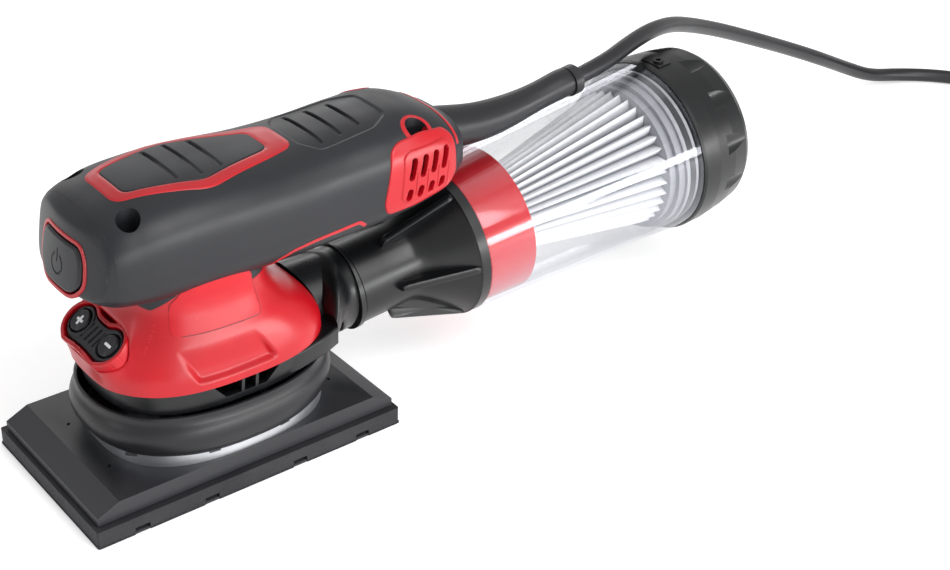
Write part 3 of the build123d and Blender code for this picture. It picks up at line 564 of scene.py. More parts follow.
def plate(name, outline, surface, height, depth, body, slot, replaced=(), edge=0.5, rings=60, flip=1, crease=38,
          look=None, deep=None):
    """A piece that lies on a surface inside an outline, with rounded edges and sides that go down by depth.
    height(u, v) is its relief over the surface; flip is -1 where u, v run the other way round the normal.
    deep is (level, material) for the faces that lie lower than that level; that darker material paints shade down in
    the hollows."""
    centre = (outline.max(0) + outline.min(0)) / 2
    size = (outline.max(0) - outline.min(0)).min() / 2
    shares = np.linspace(1.0 / rings, 1.0 - edge / size, rings)
    shares = np.concatenate([shares, 1 - edge / size * (1 - np.sin(np.linspace(0.25, 1.0, 4) * pi / 2))])
    drops = np.zeros(len(shares))
    drops[-4:] = edge * (1 - np.cos(np.linspace(0.25, 1.0, 4) * pi / 2))
    shares = np.append(shares, 1.0)
    drops = np.append(drops, depth)
    layers = []
    levels = []
    for share, drop in zip(shares, drops):
        uv = centre + (outline - centre) * share
        level = (height(uv[:, 0], uv[:, 1]) if drop < depth else 0.0) - drop + np.zeros(len(uv))
        levels.append(level)
        layers.append(raised(surface, uv[:, 0], uv[:, 1], flip * level))
    piece = ringed(name, layers, body, slot, replaced, crease=crease, look=look)
    if deep is not None:
        limit, dark = deep
        piece.data.materials.append(dark)
        levels = np.concatenate(levels)
        # faces below the level take the darker material: painted shade in the hollows
        for face in piece.data.polygons:
            corners = [i for i in face.vertices if i < len(levels)]
            if max(levels[corners]) < limit and max(corners) < (len(shares) - 4) * len(outline):
                face.material_index = 1
    return piece


def band(name, outer, inner, surface, rise, depth, body, slot, replaced=(), flip=1, across=10):
    """A closed strip between two outlines with the same number of points, lying on a surface."""
    layers = [raised(surface, outer[:, 0], outer[:, 1], flip * np.full(len(outer), -depth))]
    for share in np.linspace(0, 1, across):
        uv = outer + (inner - outer) * share
        crown = rise * (1 - (2 * share - 1) ** 8)
        layers.append(raised(surface, uv[:, 0], uv[:, 1], flip * np.full(len(uv), crown)))
    layers.append(raised(surface, inner[:, 0], inner[:, 1], flip * np.full(len(inner), -depth)))
    return ringed(name, layers, body, slot, replaced, first_cap=False, last_cap=False, closed=True)


def strip(name, line, surface, half_width, body, slot, flip=1, count=160, rise=0.25):
    """A fine raised line along an open route of (u, v) points on a surface."""
    line = np.asarray(line, float)
    run = np.concatenate([[0], np.cumsum(np.linalg.norm(np.diff(line, axis=0), axis=1))])
    even = np.linspace(0, run[-1], count)
    smooth = np.stack([np.interp(even, run, line[:, 0]), np.interp(even, run, line[:, 1])], 1)
    for _ in range(6):
        smooth[1:-1] = (smooth[:-2] + 2 * smooth[1:-1] + smooth[2:]) / 4
    along = np.gradient(smooth, axis=0)
    along /= np.linalg.norm(along, axis=1, keepdims=True)
    side = np.stack([-along[:, 1], along[:, 0]], 1)
    layers = []
    for share, level in ((-1, -0.5), (-1, 0.4 * rise), (-0.6, rise), (0.6, rise), (1, 0.4 * rise), (1, -0.5)):
        uv = smooth + side * half_width * share
        layers.append(raised(surface, uv[:, 0], uv[:, 1], flip * np.full(count, level)))
    rings = np.transpose(np.array(layers), (1, 0, 2))
    return ringed(name, rings, body, slot)


def box_faces(points, faces, centre, turn, size):
    """Adds one box with chamfered ends, turned about the vertical, to lists of points and faces."""
    base = len(points)
    for sx, sy, sz in ((-1, -1, -1), (1, -1, -1), (1, 1, -1), (-1, 1, -1),
                       (-0.9, -0.8, 1), (0.9, -0.8, 1), (0.9, 0.8, 1), (-0.9, 0.8, 1)):
        x, y = sx * size[0] / 2, sy * size[1] / 2
        points.append((centre[0] + x * cos(turn) - y * sin(turn), centre[1] + x * sin(turn) + y * cos(turn),
                       centre[2] + sz * size[2] / 2))
    for face in ((3, 2, 1, 0), (4, 5, 6, 7), (0, 1, 5, 4), (1, 2, 6, 5), (2, 3, 7, 6), (3, 0, 4, 7)):
        faces.append([base + k for k in face])


def cut(piece, cutters):
    """Takes the cutters' shapes out of a piece for good."""
    for cutter in cutters:
        change = piece.modifiers.new("cut", "BOOLEAN")
        change.operation = "DIFFERENCE"
        change.solver = "EXACT"
        change.object = cutter
    bpy.context.view_layer.update()
    result = bpy.data.meshes.new_from_object(piece.evaluated_get(bpy.context.evaluated_depsgraph_get()))
    piece.modifiers.clear()
    old = piece.data
    piece.data = result
    bpy.data.meshes.remove(old)
    for cutter in cutters:
        bpy.data.objects.remove(cutter)
    piece.data.shade_smooth()
    piece.data.set_sharp_from_angle(angle=radians(38))


def drum(x, y, z_low, z_high, radius, count=48):
    """A cutter: upright cylinder in millimetres."""
    work = bmesh.new()
    centre = Matrix.Translation((x * MM, y * MM, (z_low + z_high) / 2 * MM))
    bmesh.ops.create_cone(
        work, cap_ends=True, segments=count, radius1=radius * MM, radius2=radius * MM,
        depth=(z_high - z_low) * MM, matrix=centre,
    )
    mesh = bpy.data.meshes.new("cutter")
    work.to_mesh(mesh)
    work.free()
    cutter = bpy.data.objects.new("cutter", mesh)
    bpy.context.scene.collection.objects.link(cutter)
    return cutter


# ---- handle ----------------------------------------------------------------------------------------------

# station x, half width, underside z, top z, in millimetres as in the CAD
HANDLE_STATIONS = np.array([
    (-56.0, 17.5, 89.5, 105.0),
    (-52.0, 22.5, 87.0, 109.5),
    (-45.0, 26.8, 83.0, 115.2),
    (-33.0, 29.4, 80.5, 119.8),
    (-14.0, 30.2, 79.5, 122.0),
    (8.0, 30.0, 79.0, 121.6),
    (30.0, 28.6, 78.6, 120.2),
    (52.0, 27.4, 78.6, 120.6),
    (74.0, 27.6, 80.0, 121.8),
    (90.0, 27.4, 82.5, 121.6),
    (102.0, 25.6, 86.0, 117.6),
    (110.0, 21.5, 90.5, 113.4),
])
HANDLE_POWER = 2.7
UNDER_POWER = 3.7
HANDLE_ROUND = 420
GROOVE_R = 1.05
REAR_GROOVES = ((49.7, 13.0), (58.7, 11.8), (68.0, 10.4))
FRONT_GROOVES = ((-10.9, 12.0), (-1.6, 13.4), (7.6, 11.4))
REAR_PANEL = rounded([(41, -10), (47, -17), (72, -15.5), (80.5, -10.5), (80.5, 10.5), (72, 15.5), (47, 17),
                      (41, 10)], 2.0)
BUTTON_OUTLINE = rounded([(-11.6, 105.4), (11.6, 105.4), (14.0, 101.0), (14.6, 92.6), (9.0, 87.4), (-9.0, 87.4),
                          (-14.6, 92.6), (-14.0, 101.0)], 3.0)
GRIP_OUTLINE = rounded([(-35.2, 12.2), (-2.0, 21.4), (39.0, 10.6), (39.0, -10.6), (-2.0, -21.4), (-35.2, -12.2)],
                       5.0, 480)
GRIP_HOLE = rounded([(-30.3, 9.8), (-2.0, 16.8), (29.8, 7.6), (29.8, -7.6), (-2.0, -16.8), (-30.3, -9.8)], 3.5, 480)
GRILLE_OUTLINE = rounded([(68.2, 92.5), (72.4, 113.0), (76.5, 115.4), (88.0, 116.6), (100.0, 114.8), (103.8, 111.0),
                          (104.8, 96.0), (101.0, 91.0), (83.0, 87.8), (70.5, 87.4)], 2.6, 420)
GRILLE_PANEL = rounded([(75.6, 92.6), (77.4, 110.0), (80.0, 111.8), (98.0, 112.0), (100.8, 110.0), (101.4, 97.0),
                        (99.0, 94.4), (80.0, 90.8)], 1.6, 120)
GRILLE_SLOT_R = 1.35
FRAME_GAP = 0.7
FRAME_WIDTH = 1.5
BUTTON_TRAVEL = 1.4
HANDLE_TURN_R = 28.0
# x, y and radius of the screw wells
SCREW_WELLS = ((-34.4, 20.4, 4.3), (-34.4, -20.4, 4.3), (88.0, 21.0, 4.6), (88.0, -21.0, 4.6))
WELL_FLOOR_Z = 108.95
SIDES = ((1, "left"), (-1, "right"))


def handle_sizes(x):
    """Half width, middle height and half height of the handle at x."""
    xs = HANDLE_STATIONS[:, 0]
    half = through(xs, HANDLE_STATIONS[:, 1], x)
    low = through(xs, HANDLE_STATIONS[:, 2], x)
    high = through(xs, HANDLE_STATIONS[:, 3], x)
    return half, (low + high) / 2, (high - low) / 2


def bulge(share):
    """The other coordinate of the handle's rounded section, from one coordinate's share of its half size."""
    power = np.where(share < 0, UNDER_POWER, HANDLE_POWER)
    return (1 - np.clip(np.abs(share), 0, 0.9999) ** power) ** (1 / power)


def handle_top(x, y):
    half, middle, rise = handle_sizes(x)
    return np.stack([x, y, middle + rise * bulge(np.abs(y) / half)], -1)


def handle_side(side):
    def surface(x, z):
        half, middle, rise = handle_sizes(x)
        return np.stack([x, side * half * bulge((z - middle) / rise), z], -1)
    return surface


def nose_x(y, z):
    """The blunt face at the handle's front: leaning and slightly bowed."""
    return -48.6 - 0.18 * (106.0 - z) - 1.5 * (1 - (y / 15.0) ** 2)


def handle_nose(y, z):
    return np.stack([nose_x(y, z), y, z], -1)


def handle_relief(points):
    """How far the skin stands in from its plain form: grooves, rear panel and the beds of the grip and grilles."""
    x, y, z = points[..., 0], points[..., 1], points[..., 2]
    on_top = z > 110
    dip = np.where(on_top, 0.6 * (1 - eased(-0.6, 0.4, inside(points[..., :2], REAR_PANEL[::6]))), 0.0)
    for groove_x, half in REAR_GROOVES:
        gap = slot_distance(x, y, (groove_x, -half), (groove_x, half))
        deep = 0.7 + 0.9 * eased(-half, half, y)
        dip += np.where(on_top, deep * (1 - eased(GROOVE_R - 0.6, GROOVE_R, gap)), 0.0)
    under_grip = 1 - eased(-1.2, -0.4, inside(points[..., :2], GRIP_HOLE[::8]))
    under_grille = 1 - eased(-2.2, -1.2, inside(points[..., ::2], GRILLE_OUTLINE[::6]))
    dip += np.where(on_top, 2.2 * under_grip, 0.0)
    return dip + np.where(np.abs(y) > 14, 4.2 * under_grille, 0.0)


def handle_rings():
    """Rings of the handle's skin from its nose to its tail, closer together at the grooves."""
    parts = [np.linspace(-55.9, -40, 60), np.linspace(-40, 40, 120), np.linspace(40, 80, 120), np.linspace(80, 110, 60)]
    for groove_x, _ in REAR_GROOVES:
        parts.append(np.linspace(groove_x - 1.4, groove_x + 1.4, 20))
    xs = np.unique(np.round(np.concatenate(parts), 3))
    turn = np.linspace(0, 2 * pi, HANDLE_ROUND, endpoint=False)
    power = np.where(np.sin(turn) < 0, UNDER_POWER, HANDLE_POWER)
    c, s = oval_turn(turn, power)
    rings = []
    for share in np.linspace(0.02, 0.99, 110):
        half, middle, rise = handle_sizes(xs[0])
        rings.append(np.stack([np.full(HANDLE_ROUND, xs[0]), c * half * share, middle + s * rise * share], 1))
    for x in xs:
        half, middle, rise = handle_sizes(x)
        rings.append(np.stack([np.full(HANDLE_ROUND, x), c * half, middle + s * rise], 1))
    half, middle, rise = handle_sizes(xs[-1])
    for tail in np.linspace(0.1, 1.0, 14) * pi / 2:
        share = cos(tail) ** 0.6 if tail < 1.56 else 0.05
        x = np.full(HANDLE_ROUND, xs[-1] + 3.2 * sin(tail))
        rings.append(np.stack([x, c * half * share, middle + s * rise * share], 1))
    return np.array(rings)


def make_handle():
    rings = handle_rings()
    normals = np.cross(np.gradient(rings, axis=0), np.roll(rings, -1, 1) - np.roll(rings, 1, 1))
    normals /= np.linalg.norm(normals, axis=-1, keepdims=True) + 1e-12
    outward = np.sign((normals * (rings - np.array([30.0, 0, 100.0])) * np.array([0, 1, 1])).sum(-1, keepdims=True))
    rings = rings - normals * outward * handle_relief(rings)[..., None]
    face = nose_x(rings[..., 1], rings[..., 2])
    pocket = 1 - eased(0.0, 0.35, inside(rings[..., 1:], grown_outline(BUTTON_OUTLINE, FRAME_GAP)[::5]))
    front = rings[..., 0] < -44
    face = face + np.where(front, pocket * 4.8, 0.0)
    rings[..., 0] = np.where(front, smooth_max(rings[..., 0], face, 1.2), rings[..., 0])
    skin = ringed("handle_skin", rings, "housing", "charcoal_plastic",
                  ("handle_cover", "handle_base"), crease=46)
    cut(skin, [drum(x, y, WELL_FLOOR_Z, 140.0, radius) for x, y, radius in SCREW_WELLS])


def grown_outline(outline, gap):
    """The outline moved out by gap."""
    along = np.roll(outline, -1, 0) - np.roll(outline, 1, 0)
    along /= np.linalg.norm(along, axis=1, keepdims=True)
    side = np.stack([along[:, 1], -along[:, 0]], 1)
    centre = outline.mean(0)
    if ((outline - centre) * side).sum() < 0:
        side = -side
    return outline + side * gap


def make_button():
    """Front button in its red frame, with a power symbol cut into it."""
    outer = grown_outline(BUTTON_OUTLINE, FRAME_GAP + FRAME_WIDTH)
    inner = grown_outline(BUTTON_OUTLINE, FRAME_GAP)
    band("button_surround", outer, inner, handle_nose, 0.35, 3.0, "housing", "red_plastic",
         ("button_frame",), flip=-1)

    def relief(y, z):
        ring = np.abs(np.hypot(y, z - 95.5) - 3.7)
        ring = np.where((np.abs(y) < 1.5) & (z > 95.5), 9.0, ring)
        bar = slot_distance(y, z, (0.0, 96.5), (0.0, 101.0))
        mark = np.minimum(ring, bar)
        return 1.0 - 0.45 * (1 - eased(0.18, 0.42, mark))

    plate("front_button", BUTTON_OUTLINE, handle_nose, relief, 2.8 - BUTTON_TRAVEL, "power_button", "charcoal_plastic",
          ("power_button",), edge=1.0, rings=90, flip=-1, crease=60)


def make_grip():
    """Red ring let into the top, and the grooved inlay inside it."""
    band("grip_surround", GRIP_OUTLINE, GRIP_HOLE, handle_top, 0.3, 0.9, "housing", "red_plastic",
         ("grip_ring",))

    def relief(x, y):
        level = 0.25 + 0 * x
        for groove_x, half in FRONT_GROOVES:
            gap = slot_distance(x, y, (groove_x, -half), (groove_x, half))
            level = level - (0.5 + 0.9 * eased(-half, half, y)) * (1 - eased(GROOVE_R - 0.6, GROOVE_R, gap))
        return level

    plate("grip_inlay", grown_outline(GRIP_HOLE, -0.25), handle_top, relief, 1.8, "housing", "charcoal_plastic",
          ("grip_pad",), edge=0.3, rings=110, crease=60, look=LOOKS["dark_inlay"])


def make_grilles():
    """Red side grilles: a frame, a raised panel, long slots over short ones and fine joining grooves, with painted
    shade in dark red down in the slots.
    """

    def relief(x, z):
        level = 0.55 + 0.5 * (1 - eased(-0.5, 0.3, inside(np.stack([x, z], -1), GRILLE_PANEL[::3])))
        step = 5.2
        for i in range(4):
            slot_x = 80.4 + step * i
            upper = slot_distance(x, z, (slot_x, 101.4 + 0.3 * i), (slot_x + 1.6, 107.6 + 0.2 * i))
            lower = slot_distance(x, z, (slot_x - 1.2, 93.2 + 0.4 * i), (slot_x - 0.6, 95.4 + 0.4 * i))
            level = level - 3.4 * (1 - eased(GRILLE_SLOT_R - 0.3, GRILLE_SLOT_R, upper))
            level = level - 3.4 * (1 - eased(GRILLE_SLOT_R - 0.3, GRILLE_SLOT_R, lower))
            joiner = slot_distance(x, z, (slot_x + 1.7, 93.6), (slot_x + 2.6, 103.0))
            level = level - 0.35 * (1 - eased(0.1, 0.35, joiner))
        return level

    for side, name in SIDES:
        # slot floors deeper than 0.3 mm take deep_red: painted shade
        plate(f"grille_{name}", GRILLE_OUTLINE, handle_side(side), relief, 1.2, "housing", "red_plastic",
              (f"vent_grille_{name}",), edge=0.7, rings=130, flip=-side, crease=50, deep=(-0.3, LOOKS["deep_red"]))


def make_red_lines():
    """Edges of the red lining that show under the handle and behind it."""
    for side, name in SIDES:
        strip(f"lining_line_{name}",
              [(16.0, 80.6), (21.5, 84.4), (27.5, 86.6), (37.0, 87.6), (48.0, 88.0), (57.5, 88.6), (60.5, 86.0)],
              handle_side(side), 0.75, "housing", "red_plastic", flip=-side)


def handle_round(u, v):
    """The handle's skin by distance round its section and station."""
    half, middle, rise = handle_sizes(v)
    c, s = oval_turn(u / HANDLE_TURN_R, HANDLE_POWER)
    return np.stack([v, half * c, middle + rise * s], -1)


def make_tail_line():
    """Red rim across the back of the handle's top, between the grilles."""
    turns = np.linspace(radians(14), radians(166), 60)
    line = [(HANDLE_TURN_R * turn, 105.4 + 1.2 * abs(cos(turn)) ** 3) for turn in turns]
    strip("tail_line", line, handle_round, 0.8, "housing", "red_plastic", rise=0.3)


def make_well_linings():
    """Red collars round the rear screw wells."""
    circle = unit_circle(120)
    for side, name in SIDES:
        centre = np.array([88.0, side * 21.0])
        outer = centre + circle * [6.6, 6.0]
        inner = centre + circle * 4.7
        band(f"well_lining_{name}", outer, inner, handle_top, 0.25, 3.0, "housing", "red_plastic")


make_tail_line()
make_well_linings()
make_handle()
make_button()
make_grip()
make_grilles()
make_red_lines()


# ---- motor housing ---------------------------------------------------------------------------------------

MOTOR_STATIONS = np.array([
    (46.9, 46.4, 36.8, 0.8),
    (52.0, 45.8, 36.4, 0.8),
    (58.0, 42.7, 34.8, 0.1),
    (64.0, 38.2, 32.8, -1.6),
    (70.0, 32.5, 30.4, -3.9),
    (76.0, 29.3, 28.4, -4.7),
    (80.5, 28.9, 27.7, -4.8),
    (84.5, 28.9, 27.7, -5.0),
    (89.0, 28.9, 27.7, -5.0),
])
NECK_Z = 79.6
NECK_REAR_X = 9.3
MOTOR_POWER = 2.6
KEYPAD_TILT = radians(35.5)
KEYPAD_CENTRE = np.array([-41.2, 0.0, 61.9])
KEYPAD_RIGHT = np.array([0.0, -1.0, 0.0])
KEYPAD_OUT = np.array([-sin(KEYPAD_TILT), 0.0, cos(KEYPAD_TILT)])
KEYPAD_UP = np.cross(KEYPAD_OUT, KEYPAD_RIGHT)
KEY_X = 10.7
KEY_R = 4.5
KEY_WELL_R = 4.8


def keypad_face(u, v):
    """Points of the plane that the keypad lies in."""
    return KEYPAD_CENTRE + u[..., None] * KEYPAD_RIGHT + v[..., None] * KEYPAD_UP


def keypad_axes(points):
    """How far points lie to the keypad's right, up it and out of it."""
    rel = points - KEYPAD_CENTRE
    return rel @ KEYPAD_RIGHT, rel @ KEYPAD_UP, rel @ KEYPAD_OUT


def bell(points):
    """Rough signed distance to the plain bell."""
    zs = MOTOR_STATIONS[:, 0]
    a, b, cx = (through(zs, MOTOR_STATIONS[:, i], points[..., 2]) for i in (1, 2, 3))
    share = np.abs((points[..., 0] - cx) / a) ** MOTOR_POWER + np.abs(points[..., 1] / b) ** MOTOR_POWER
    return (share ** (1 / MOTOR_POWER) - 1) * b


def boss(points):
    """Signed distance to the keypad's boss: a rounded block square to the keypad."""
    u, v, w = keypad_axes(points)
    corner = 8.0
    du = np.abs(u) - (18.6 - corner)
    dv = np.abs(v) - (9.6 - corner)
    flat = np.hypot(np.maximum(du, 0), np.maximum(dv, 0)) + np.minimum(np.maximum(du, dv), 0) - corner
    return smooth_max(flat + 0.10 * (w + 2), w + 0.4, 1.6)


def scoop(points):
    """Depth of the shallow scoop in each side: slanting ends, a step along its foot, fading out upwards."""
    x, y, z = points[..., 0], points[..., 1], points[..., 2]
    front = (-18.5 - 0.45 * (z - 49.0)) - x
    back = x - (14.5 - 0.55 * (z - 49.0))
    foot = 50.0 + 0.012 * (x + 2) - z
    edge = smooth_max(smooth_max(front, back, 1.0), foot, 0.8)
    fade = 1 - eased(53.0, 64.0, z)
    return 2.5 * fade * (1 - eased(-1.4, 0.2, edge)) * (np.abs(y) > 12)


def motor_form(points):
    """Signed distance to the red housing's outside, with the keypad's pocket taken out."""
    form = smooth_min(bell(points), boss(points), 3.0) + scoop(points)
    u, v, w = keypad_axes(points)
    across = np.maximum(np.abs(u) - 10.4, 0)
    pocket = smooth_max(np.hypot(across, v + 0.3) - 8.4, -3.9 - w, 0.6)
    return smooth_max(form, -pocket, 1.0)


def make_motor_housing():
    """Red bell found by walking in towards the axis on level lines until they meet its form."""
    around = 720
    turn = np.linspace(0, 2 * pi, around, endpoint=False)
    heights = np.concatenate([np.linspace(46.9, 50, 16), np.linspace(50, 88.6, 190)[1:]])
    towards = np.stack([np.cos(turn), np.sin(turn), 0 * turn], 1)[None]
    axis = np.stack([np.full(len(heights), -3.0), 0 * heights, heights], 1)[:, None]
    near = np.full((len(heights), around), 62.0)
    found = np.zeros(near.shape, bool)
    step = 0.6
    for _ in range(90):
        near = np.where(found, near, near - step)
        found |= motor_form(axis + towards * near[..., None]) < 0
    low, high = near, near + step
    for _ in range(18):
        middle = (low + high) / 2
        within = motor_form(axis + towards * middle[..., None]) < 0
        low = np.where(within, middle, low)
        high = np.where(within, high, middle)
    for _ in range(4):
        low = (2 * low + np.roll(low, 1, 1) + np.roll(low, -1, 1)) / 4
        low[1:-1] = (low[:-2] + 2 * low[1:-1] + low[2:]) / 4
    rings = axis + towards * low[..., None]
    hidden = (rings[..., 2] > NECK_Z + 0.2) & (rings[..., 0] > NECK_REAR_X)
    rings[..., :2] *= np.where(hidden, 0.93, 1.0)[..., None]
    lip = rings[0] * [0.988, 0.988, 1.0] - [0, 0, 0.35]
    inner = rings[0] * [0.94, 0.94, 1.0] - [0, 0, 0.35]
    ringed("motor_shell", np.concatenate([[inner], [lip], rings]), "housing", "red_plastic",
           ("motor_housing",), first_cap=False, last_cap=False, crease=50)


make_motor_housing()


def keypad_outline():
    """Kidney shape round the two keys: two discs and a waist that is hollow on its upper edge."""
    towards = unit_circle(360)
    reach = np.full(360, 24.0)
    for _ in range(240):
        p = np.array([0.0, -1.0]) + towards * reach[:, None]
        discs = np.minimum(np.hypot(p[:, 0] - 10.4, p[:, 1]), np.hypot(p[:, 0] + 10.4, p[:, 1])) - 6.4
        waist = np.maximum(np.abs(p[:, 0]) - 10.4, np.maximum(-6.6 - p[:, 1], p[:, 1] - 4.2))
        reach = np.where(smooth_min(discs, waist, 1.6) > 0, reach - 0.1, reach)
    return np.array([0.0, -1.0]) + towards * reach[:, None]


def make_keypad():
    """Kidney-shaped pad with round wells for its keys and slanted grooves, inside a red rim."""
    outline = keypad_outline()
    band("keypad_rim", grown_outline(outline, 2.4), grown_outline(outline, 0.5), keypad_face, 1.5, 3.9,
         "housing", "red_plastic")

    def relief(u, v):
        level = 0.55 + 0 * u
        for side in (1, -1):
            gap = np.hypot(u - side * KEY_X, v)
            level = level - 3.0 * (1 - eased(KEY_WELL_R, 5.1, gap))
            level = level + 0.4 * (1 - eased(0.3, 0.9, np.abs(gap - 6.0)))
        for i in range(4):
            x = -4.5 + 3.0 * i
            gap = slot_distance(u, v, (x - 0.4, -3.6), (x + 0.4, 2.2))
            level = level - 0.8 * (1 - eased(0.35, 0.75, gap))
        return level

    plate("keypad_pad", outline, keypad_face, relief, 3.6, "housing", "charcoal_plastic",
          ("keypad_bezel",), edge=0.8, rings=90, crease=60)
    for side, name in ((-1, "plus_key"), (1, "minus_key")):
        circle = unit_circle(96) * KEY_R + [side * KEY_X, 0]

        def key_relief(u, v):
            dish = np.hypot(u - side * KEY_X, v) / KEY_R
            return 1.35 - 0.25 * (1 - dish ** 2)

        plate(f"{name}_cap", circle, keypad_face, key_relief, 1.0, name, "charcoal_plastic",
              (name,), edge=0.7, rings=20, crease=60)
        bars = [((-2.0, 0.0), (2.0, 0.0))] + ([((0.0, -2.0), (0.0, 2.0))] if side < 0 else [])
        for i, (start, end) in enumerate(bars):
            start, end = np.array(start), np.array(end)
            along = end - start
            across = np.array([-along[1], along[0]]) / np.linalg.norm(along) * 0.55
            corners = [start - across, end - across, end + across, start + across]
            mark = rounded([c + [side * KEY_X, 0] for c in corners], 0.2, 48)
            plate(f"{name}_mark_{i}", mark, keypad_face, lambda u, v: 1.28 + 0.02 * i + 0 * u, 0.2, name,
                  "filter_paper", edge=0.1, rings=4, look=LOOKS["white_mark"])


make_keypad()


def motor_side(side):
    def surface(x, z):
        zs = MOTOR_STATIONS[:, 0]
        a, b, cx = (through(zs, MOTOR_STATIONS[:, i], z) for i in (1, 2, 3))
        share = (1 - np.clip(np.abs((x - cx) / a), 0, 0.999) ** MOTOR_POWER) ** (1 / MOTOR_POWER)
        return np.stack([x, side * b * share, z], -1)
    return surface


def make_side_panels():
    """Blank label panels on the housing's sides, each in a fine dark seam."""
    outline = rounded([(-24.4, 68.2), (-25.0, 70.0), (-23.2, 79.6), (-19.4, 84.0), (-19.0, 87.0), (6.0, 87.0),
                       (9.6, 83.0), (11.0, 69.6), (9.6, 67.6)], 0.8, 240)
    for side, name in SIDES:
        plate(f"label_seam_{name}", grown_outline(outline, 0.3), motor_side(side), lambda x, z: 0.12 + 0 * x, 0.8,
              "housing", "red_plastic", edge=0.1, rings=30, flip=-side, look=LOOKS["deep_red"])
        plate(f"label_{name}", outline, motor_side(side), lambda x, z: 0.3 + 0 * x, 0.8, "housing", "red_plastic",
              edge=0.15, rings=30, flip=-side, look=LOOKS["label_red"])


make_side_panels()


def make_neck_points():
    """Dark points of the handle's neck that reach down into the red housing beside its boss."""
    outline = rounded([(-33.0, 79.0), (-28.6, 77.2), (-20.6, 83.4), (-20.4, 87.4), (-32.6, 87.4)], 0.6, 160)
    for side, name in SIDES:
        plate(f"neck_point_{name}", outline, motor_side(side), lambda x, z: 0.4 + 0 * x, 0.8,
              "housing", "charcoal_plastic", edge=0.2, rings=20, flip=-side)


make_neck_points()


# ---- skirt -----------------------------------------------------------------------------------------------

# height, half length, half width of the rubber bellows, outside and then back down inside
SKIRT_STATIONS = np.array([
    (19.6, 46.6, 37.4),
    (22.0, 48.8, 39.0),
    (25.0, 50.4, 39.9),
    (28.5, 50.9, 40.2),
    (31.5, 50.0, 39.5),
    (34.0, 48.6, 38.3),
    (36.0, 48.3, 37.9),
    (37.2, 48.5, 38.0),
])
SKIRT_POWER = 2.3
SKIRT_WALL = 1.2
SHAFT_X = 1.0


def make_skirt():
    """Soft bellows with a waist and a fine lip, rounder at its corners than the band that it stands on."""
    turn = np.linspace(0, 2 * pi, 480, endpoint=False)
    c, s = oval_turn(turn, SKIRT_POWER)

    def ring(z, shrink):
        a, b = (float(through(SKIRT_STATIONS[:, 0], SKIRT_STATIONS[:, i], z)) - shrink for i in (1, 2))
        return np.stack([SHAFT_X + a * c, b * s, np.full(len(turn), z)], 1)

    heights = np.linspace(19.6, 37.2, 60)
    rings = [ring(z, 0.0) for z in heights]
    rings += [ring(37.2, share * SKIRT_WALL) + [0, 0, 0.15 * sin(share * pi)] for share in (0.25, 0.5, 0.75)]
    rings += [ring(z, SKIRT_WALL) for z in heights[::-3]]
    ringed("skirt_bellows", np.array(rings), "pad", "rubber", ("skirt",),
           first_cap=False, last_cap=False, closed=True, crease=60)


make_skirt()


def make_clips():
    """Small hooks along the skirt's foot that hold it down on the band."""
    points = []
    faces = []
    for x, y, turn in ((-40.4, -19.4, -47), (-14.9, -35.0, -9), (15.3, -35.0, 8), (41.0, -20.6, 45)):
        for side in (1, -1):
            box_faces(points, faces, (x, y * side, 20.2), radians(turn * side), (4.4, 2.8, 2.0))
    finish_mesh("skirt_hooks", points, faces, "pad", "rubber", ("skirt_clips",))


make_clips()


# ---- outlet ----------------------------------------------------------------------------------------------

# station x, half width, underside z, top z of the duct behind the fan ring
OUTLET_STATIONS = np.array([
    (46.4, 27.2, 38.0, 52.0),
    (48.5, 25.6, 38.0, 56.0),
    (51.0, 23.6, 38.0, 59.6),
    (53.5, 21.6, 37.6, 61.6),
    (55.5, 20.2, 33.0, 62.4),
    (57.5, 19.0, 29.2, 62.8),
    (60.0, 17.9, 28.1, 62.8),
    (62.6, 17.4, 28.0, 62.9),
])
FAN_POWER = 2.6
WING_START = 16.0


def make_outlet():
    """Duct that draws in from the fan ring's width to the round port."""
    turn = np.linspace(0, 2 * pi, 240, endpoint=False)
    rings = []
    for x in np.linspace(46.4, 62.6, 60):
        half, low, high = (float(through(OUTLET_STATIONS[:, 0], OUTLET_STATIONS[:, i], x)) for i in (1, 2, 3))
        power = 3.4 - 1.4 * float(eased(48.0, 60.0, x))
        c, s = oval_turn(turn, power)
        rings.append(np.stack([np.full(240, x), half * c, (low + high) / 2 + (high - low) / 2 * s], 1))
    ringed("outlet_duct", rings, "housing", "black_plastic")


def make_wings():
    """Fins that lead from the fan ring's sides back into the duct."""
    xs = np.linspace(WING_START, 46.6, 60)
    outer = through([16.0, 24.0, 32.0, 40.0, 46.6], [33.4, 33.6, 32.0, 29.8, 27.1], xs)
    ring = 34.6 * (1 - np.clip((xs - SHAFT_X) / 45.6, 0, 1) ** FAN_POWER) ** (1 / FAN_POWER) - 0.8
    corner = np.linspace(0, pi / 2, 6)
    for side, name in SIDES:
        rings = []
        for x, out, within in zip(xs, outer, ring):
            within = min(within, out - 0.6)
            radius = min(1.2, 0.45 * (out - within))
            upper = [(out - radius + radius * sin(a), 46.4 - radius + radius * cos(a)) for a in corner]
            lower = [(out - radius + radius * cos(a), 38.2 + radius - radius * sin(a)) for a in corner]
            section = [(within, 46.4)] + upper + lower + [(within, 38.2)]
            rings.append([(x, side * y, z) for y, z in section])
        ringed(f"outlet_wing_{name}", rings, "housing", "black_plastic")


make_outlet()
make_wings()


# ---- dust container --------------------------------------------------------------------------------------

CONTAINER_TILT = radians(5.3)
CONTAINER_ROOT = np.array([66.5, 0.0, 45.5])
CONTAINER_AXIS = np.array([cos(CONTAINER_TILT), 0.0, sin(CONTAINER_TILT)])
CONTAINER_UP = np.array([-sin(CONTAINER_TILT), 0.0, cos(CONTAINER_TILT)])
CONTAINER_SIDE = np.array([0.0, 1.0, 0.0])


